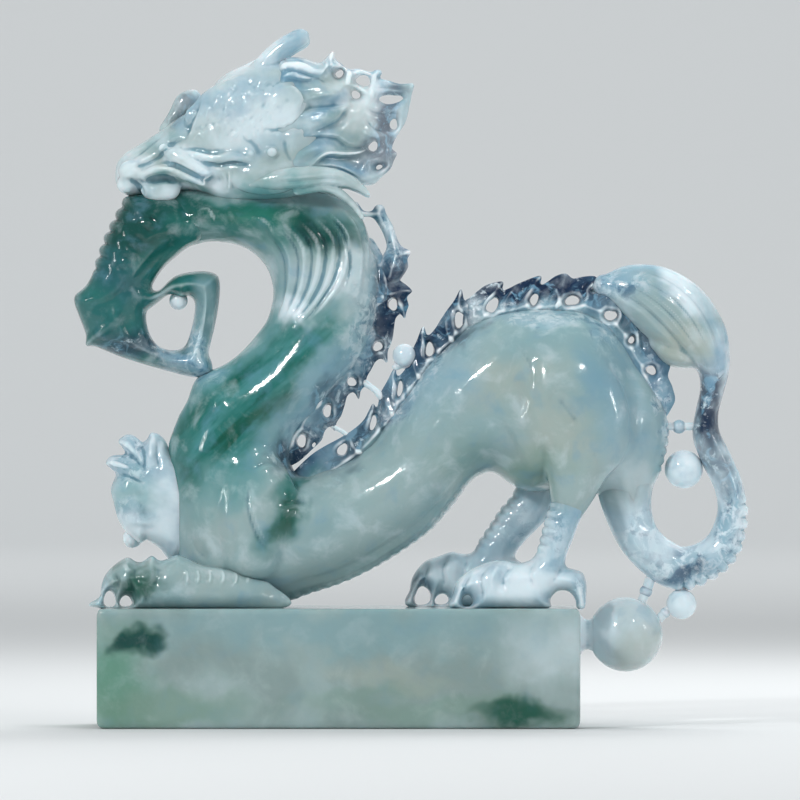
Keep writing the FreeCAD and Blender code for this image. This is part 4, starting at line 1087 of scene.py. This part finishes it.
# a pierced fan, its wavy locks rolling over each other
mane = {
    "edge": [
        (-11, 113.6), (-8.6, 115), (-6, 114.9), (-3.6, 114.1), (-2.6, 114.6), (-1.0, 116.2), (-0.6, 114.8),
        (0.4, 114.0), (1.7, 113.0), (3.4, 113.1), (5.4, 112.5), (6.6, 113.0), (7.5, 112.4), (6.9, 111.4),
        (8.4, 111.1), (10.4, 110.5), (12.9, 110.5), (12.6, 108.9), (12.2, 107), (11.9, 105.4),
        (11.3, 103.6), (10.4, 102.2), (9.6, 100.8), (9.1, 99.2), (10.1, 98.6), (9.5, 97.4), (8.9, 95.9),
        (7.4, 94.5), (6, 93.2), (4, 93), (0, 93.4), (-6, 93.6), (-12, 95), (-13, 104),
    ],
    "holes": [
        ellipse(0.1, 112.2, 1.4, 1.3), ellipse(4.2, 111.0, 2.8, 1.7, -4), ellipse(2.9, 108.6, 1.5, 1.5),
        ellipse(8.9, 107.8, 3.9, 1.6, 8), ellipse(9.4, 103.5, 1.4, 1.9, -20),
        ellipse(5.9, 99.7, 1.8, 1.5, 20), ellipse(7.0, 96.2, 1.6, 0.8, 20),
    ],
    "voxel": 0.24, "rim": 2.6, "thinnest": 0.35, "step": 0.5, "rubs": 4,
    "half": lambda x, z, edge: np.interp(x, [-12, -7, -2, 3, 7, 12], [8.8, 9.2, 7.4, 4.2, 2.0, 1.3]),
    "strokes": [
        ([(-9.4, 114.4), (-6.1, 114.5), (-3.6, 113.5)], 0.4, 0.5),
        ([(-10.7, 112.3), (-9, 113.7), (-6.7, 113.7), (-4.4, 112.7), (-2.6, 112.5)], 0.4, -0.5),
        ([(-10.4, 111.9), (-8, 112.8), (-5, 111.9), (-2, 111.4)], (0.9, 0.5), 1.0),
        ([(-9.9, 111.2), (-6.1, 110.6), (-3, 111), (0.5, 110.4)], (0.5, 1.0), 0.8),
        ([(-6.6, 105.2), (-4.7, 106.2), (-0.7, 106.6), (1.8, 107.2)], (1.3, 0.5), 1.1),
        ([(-6, 107.4), (-3, 108.4), (0.6, 108.6)], 0.6, -0.4),
        ([(-4.4, 101.9), (-2.7, 102.5), (-0.1, 103.7), (1.6, 105.7), (2.8, 107)], (0.5, 1.2), 0.9),
        ([(-6.4, 103.2), (-3, 104), (0, 105.2)], 0.9, -0.4),
        ([(-7.9, 98.8), (-5.8, 100.4), (-3, 101.1), (-0.1, 100.8), (1.6, 99.6), (4.4, 99.4)], (0.4, 1.3),
         1.0),
        ([(-4.9, 96.3), (-2.4, 98.3), (0.5, 98.4), (2.8, 98.5), (4.6, 99.1), (5.6, 100.4)], 0.35, -0.5),
        ([(-4.4, 95.8), (-1.6, 97.6), (1.2, 97.5), (4.6, 97.6)], (0.5, 1.3), 0.9),
        ([(-7.4, 97.4), (-5, 98.8), (-2.4, 99.8)], 0.8, -0.4),
        ([(-3.4, 95.9), (-0.1, 95.7), (2.5, 94.4), (4.2, 93.2)], (0.35, 0.9), 0.8),
        ([(-7, 95.4), (-4, 96.4), (-1, 96.4)], 0.6, -0.3),
        ([(4.6, 104.4), (6.4, 102.6), (8.4, 102)], 0.4, 0.35),
        ([(3.4, 102.6), (5.4, 101.6), (7.8, 101.4)], 0.45, -0.3),
        ([(4.4, 106.6), (6.8, 105.4), (11, 105.2)], 0.5, 0.4),
        ([(6, 109.6), (8.4, 109.9), (12, 109.5)], 0.35, 0.35),
        ([(1.6, 110), (1.8, 112.4), (2.2, 113.2)], 0.4, -0.3),
        ([(-1.8, 115), (-1.6, 113.4), (-2.4, 112)], 0.35, 0.3),
        ([(6, 107), (5.6, 109.6), (6.4, 112.4)], 0.45, -0.3),
        ([(8, 97.8), (6.4, 98), (5, 97.4)], 0.35, 0.3),
    ],
}
cutSlab("mane", mane, maneLook, "white_jade", "mane_core", "mane_upper_locks", "mane_lower_locks")

# a long lock and a hanging one below each cheek
jowlLock = {
    "voxel": 0.25, "rubs": 3,
    "sides": [
        (limb, "lockBlank", [(-15, 8.0, 93.2, 1.0, 1.3), (-11, 8.8, 93.8, 1.7, 1.7),
                             (-6.4, 9.4, 94.2, 1.9, 1.7), (-2, 9.4, 94.4, 1.6, 1.5),
                             (1.4, 9.0, 93.7, 1.2, 1.2), (3.6, 8.6, 92.5, 0.8, 0.9),
                             (5.1, 8.2, 91.3, 0.4, 0.5)], 22, 0.5),
        (limb, "lockBlank", [(-7, 8.4, 92, 0.9, 1.0), (-2.7, 9, 92.6, 0.9, 1.0), (0, 8.8, 91.6, 0.8, 0.9),
                             (2.4, 8.2, 89.6, 0.6, 0.8), (4, 7.6, 87.4, 0.4, 0.5)], 20, 0.5),
    ],
    "strokes": [([(-12, 93.2), (-6, 93.6), (-1, 94), (2.4, 92.8)], 0.4, 0.3)],
}
for side, name, node in ((-1, "nearJowlLock", "near_jowl_lock"), (1, "farJowlLock", "far_jowl_lock")):
    lock = fuse(name, sided(jowlLock["sides"], side), jowlLock["voxel"], jowlLock["rubs"])
    carve(lock, jowlLock["strokes"])
    settle(lock, headLook, "white_jade", node)

print("setting up the studio")

# metres: the camera's distance, the width it sees and where it aims; the paper's size and colour; the air
studio = {"distance": 1.9, "frame": 0.1376, "aimX": 0.0105, "aimZ": 0.0561, "sensor": 36,
          "halfWidth": 3.2, "front": -3.2, "bendStart": 2.4, "bendRadius": 0.6, "bendSteps": 12,
          "back": 3.0,
          "top": 2.6, "gap": 0.02, "paper": (0.66, 0.68, 0.69, 1), "paperRoughness": 0.7,
          "air": (0.84, 0.87, 0.88, 1), "airStrength": 0.35}


# a soft light; mirrored ones show as highlights on the polish
def softbox(name, place, size, power, mirrored, aim=(0.01, 0, 0.06)):
    data = bpy.data.lights.new(name, "AREA")
    data.shape = "RECTANGLE"
    data.size, data.size_y = size
    data.energy = power
    lamp = bpy.data.objects.new(name, data)
    lamp.location = place
    lamp.visible_glossy = mirrored
    lamp.rotation_euler = (Vector(aim) - Vector(place)).to_track_quat("-Z", "Y").to_euler()
    scene.collection.objects.link(lamp)


def sweep(name):
    start, radius, steps = studio["bendStart"], studio["bendRadius"], studio["bendSteps"]
    profile = [(studio["front"], 0.0), (start, 0.0)]
    for k in range(1, steps + 1):
        turn = math.pi / 2 * k / steps
        profile.append((start + radius * math.sin(turn), radius * (1 - math.cos(turn))))
    profile.append((studio["back"], studio["top"]))
    ends = (-studio["halfWidth"], studio["halfWidth"])
    corners = [(x / mm, y / mm, z / mm - studio["gap"]) for x in ends for y, z in profile]
    count = len(profile)
    faces = [(i, i + count, i + count + 1, i + 1) for i in range(count - 1)]
    piece = addMesh(name, corners, faces)
    for face in piece.data.polygons:
        face.use_smooth = True
    paper = bpy.data.materials.new("paper")
    paper.use_nodes = True
    surface = paper.node_tree.nodes["Principled BSDF"]
    surface.inputs["Base Color"].default_value = studio["paper"]
    surface.inputs["Roughness"].default_value = studio["paperRoughness"]
    piece.data.materials.append(paper)


sweep("paperSweep")
softbox("keyLight", (-0.34, -0.50, 0.40), (0.055, 0.10), 2.0, True)
softbox("sparkLight", (0.30, -0.42, 0.46), (0.03, 0.05), 0.35, True)
softbox("leftStrip", (-0.60, -0.26, 0.16), (0.03, 0.16), 0.30, True)
softbox("rightStrip", (0.62, -0.26, 0.24), (0.03, 0.12), 0.30, True)
softbox("fillLight", (0.50, -0.50, 0.20), (0.30, 0.30), 0.85, False)
softbox("backLight", (0.20, 0.32, 0.45), (0.45, 0.25), 2.1, False)
softbox("topLight", (0.0, -0.05, 0.65), (0.35, 0.35), 1.0, False)
softbox("wallLight", (0, 1.3, 1.9), (2.4, 0.8), 33, False, (0, 3.0, 0.3))
world = bpy.data.worlds.new("studioAir")
scene.world = world
world.use_nodes = True
air = world.node_tree.nodes["Background"]
air.inputs["Color"].default_value = studio["air"]
air.inputs["Strength"].default_value = studio["airStrength"]

lens = bpy.data.cameras.new("camera")
lens.sensor_width = studio["sensor"]
lens.lens = studio["sensor"] * studio["distance"] / studio["frame"]
lens.clip_end = 20
camera = bpy.data.objects.new("camera", lens)
camera.location = (studio["aimX"], -studio["distance"], studio["aimZ"])
camera.rotation_euler = (math.radians(90), 0, 0)
scene.collection.objects.link(camera)
scene.camera = camera
scene.view_settings.view_transform = "Standard"
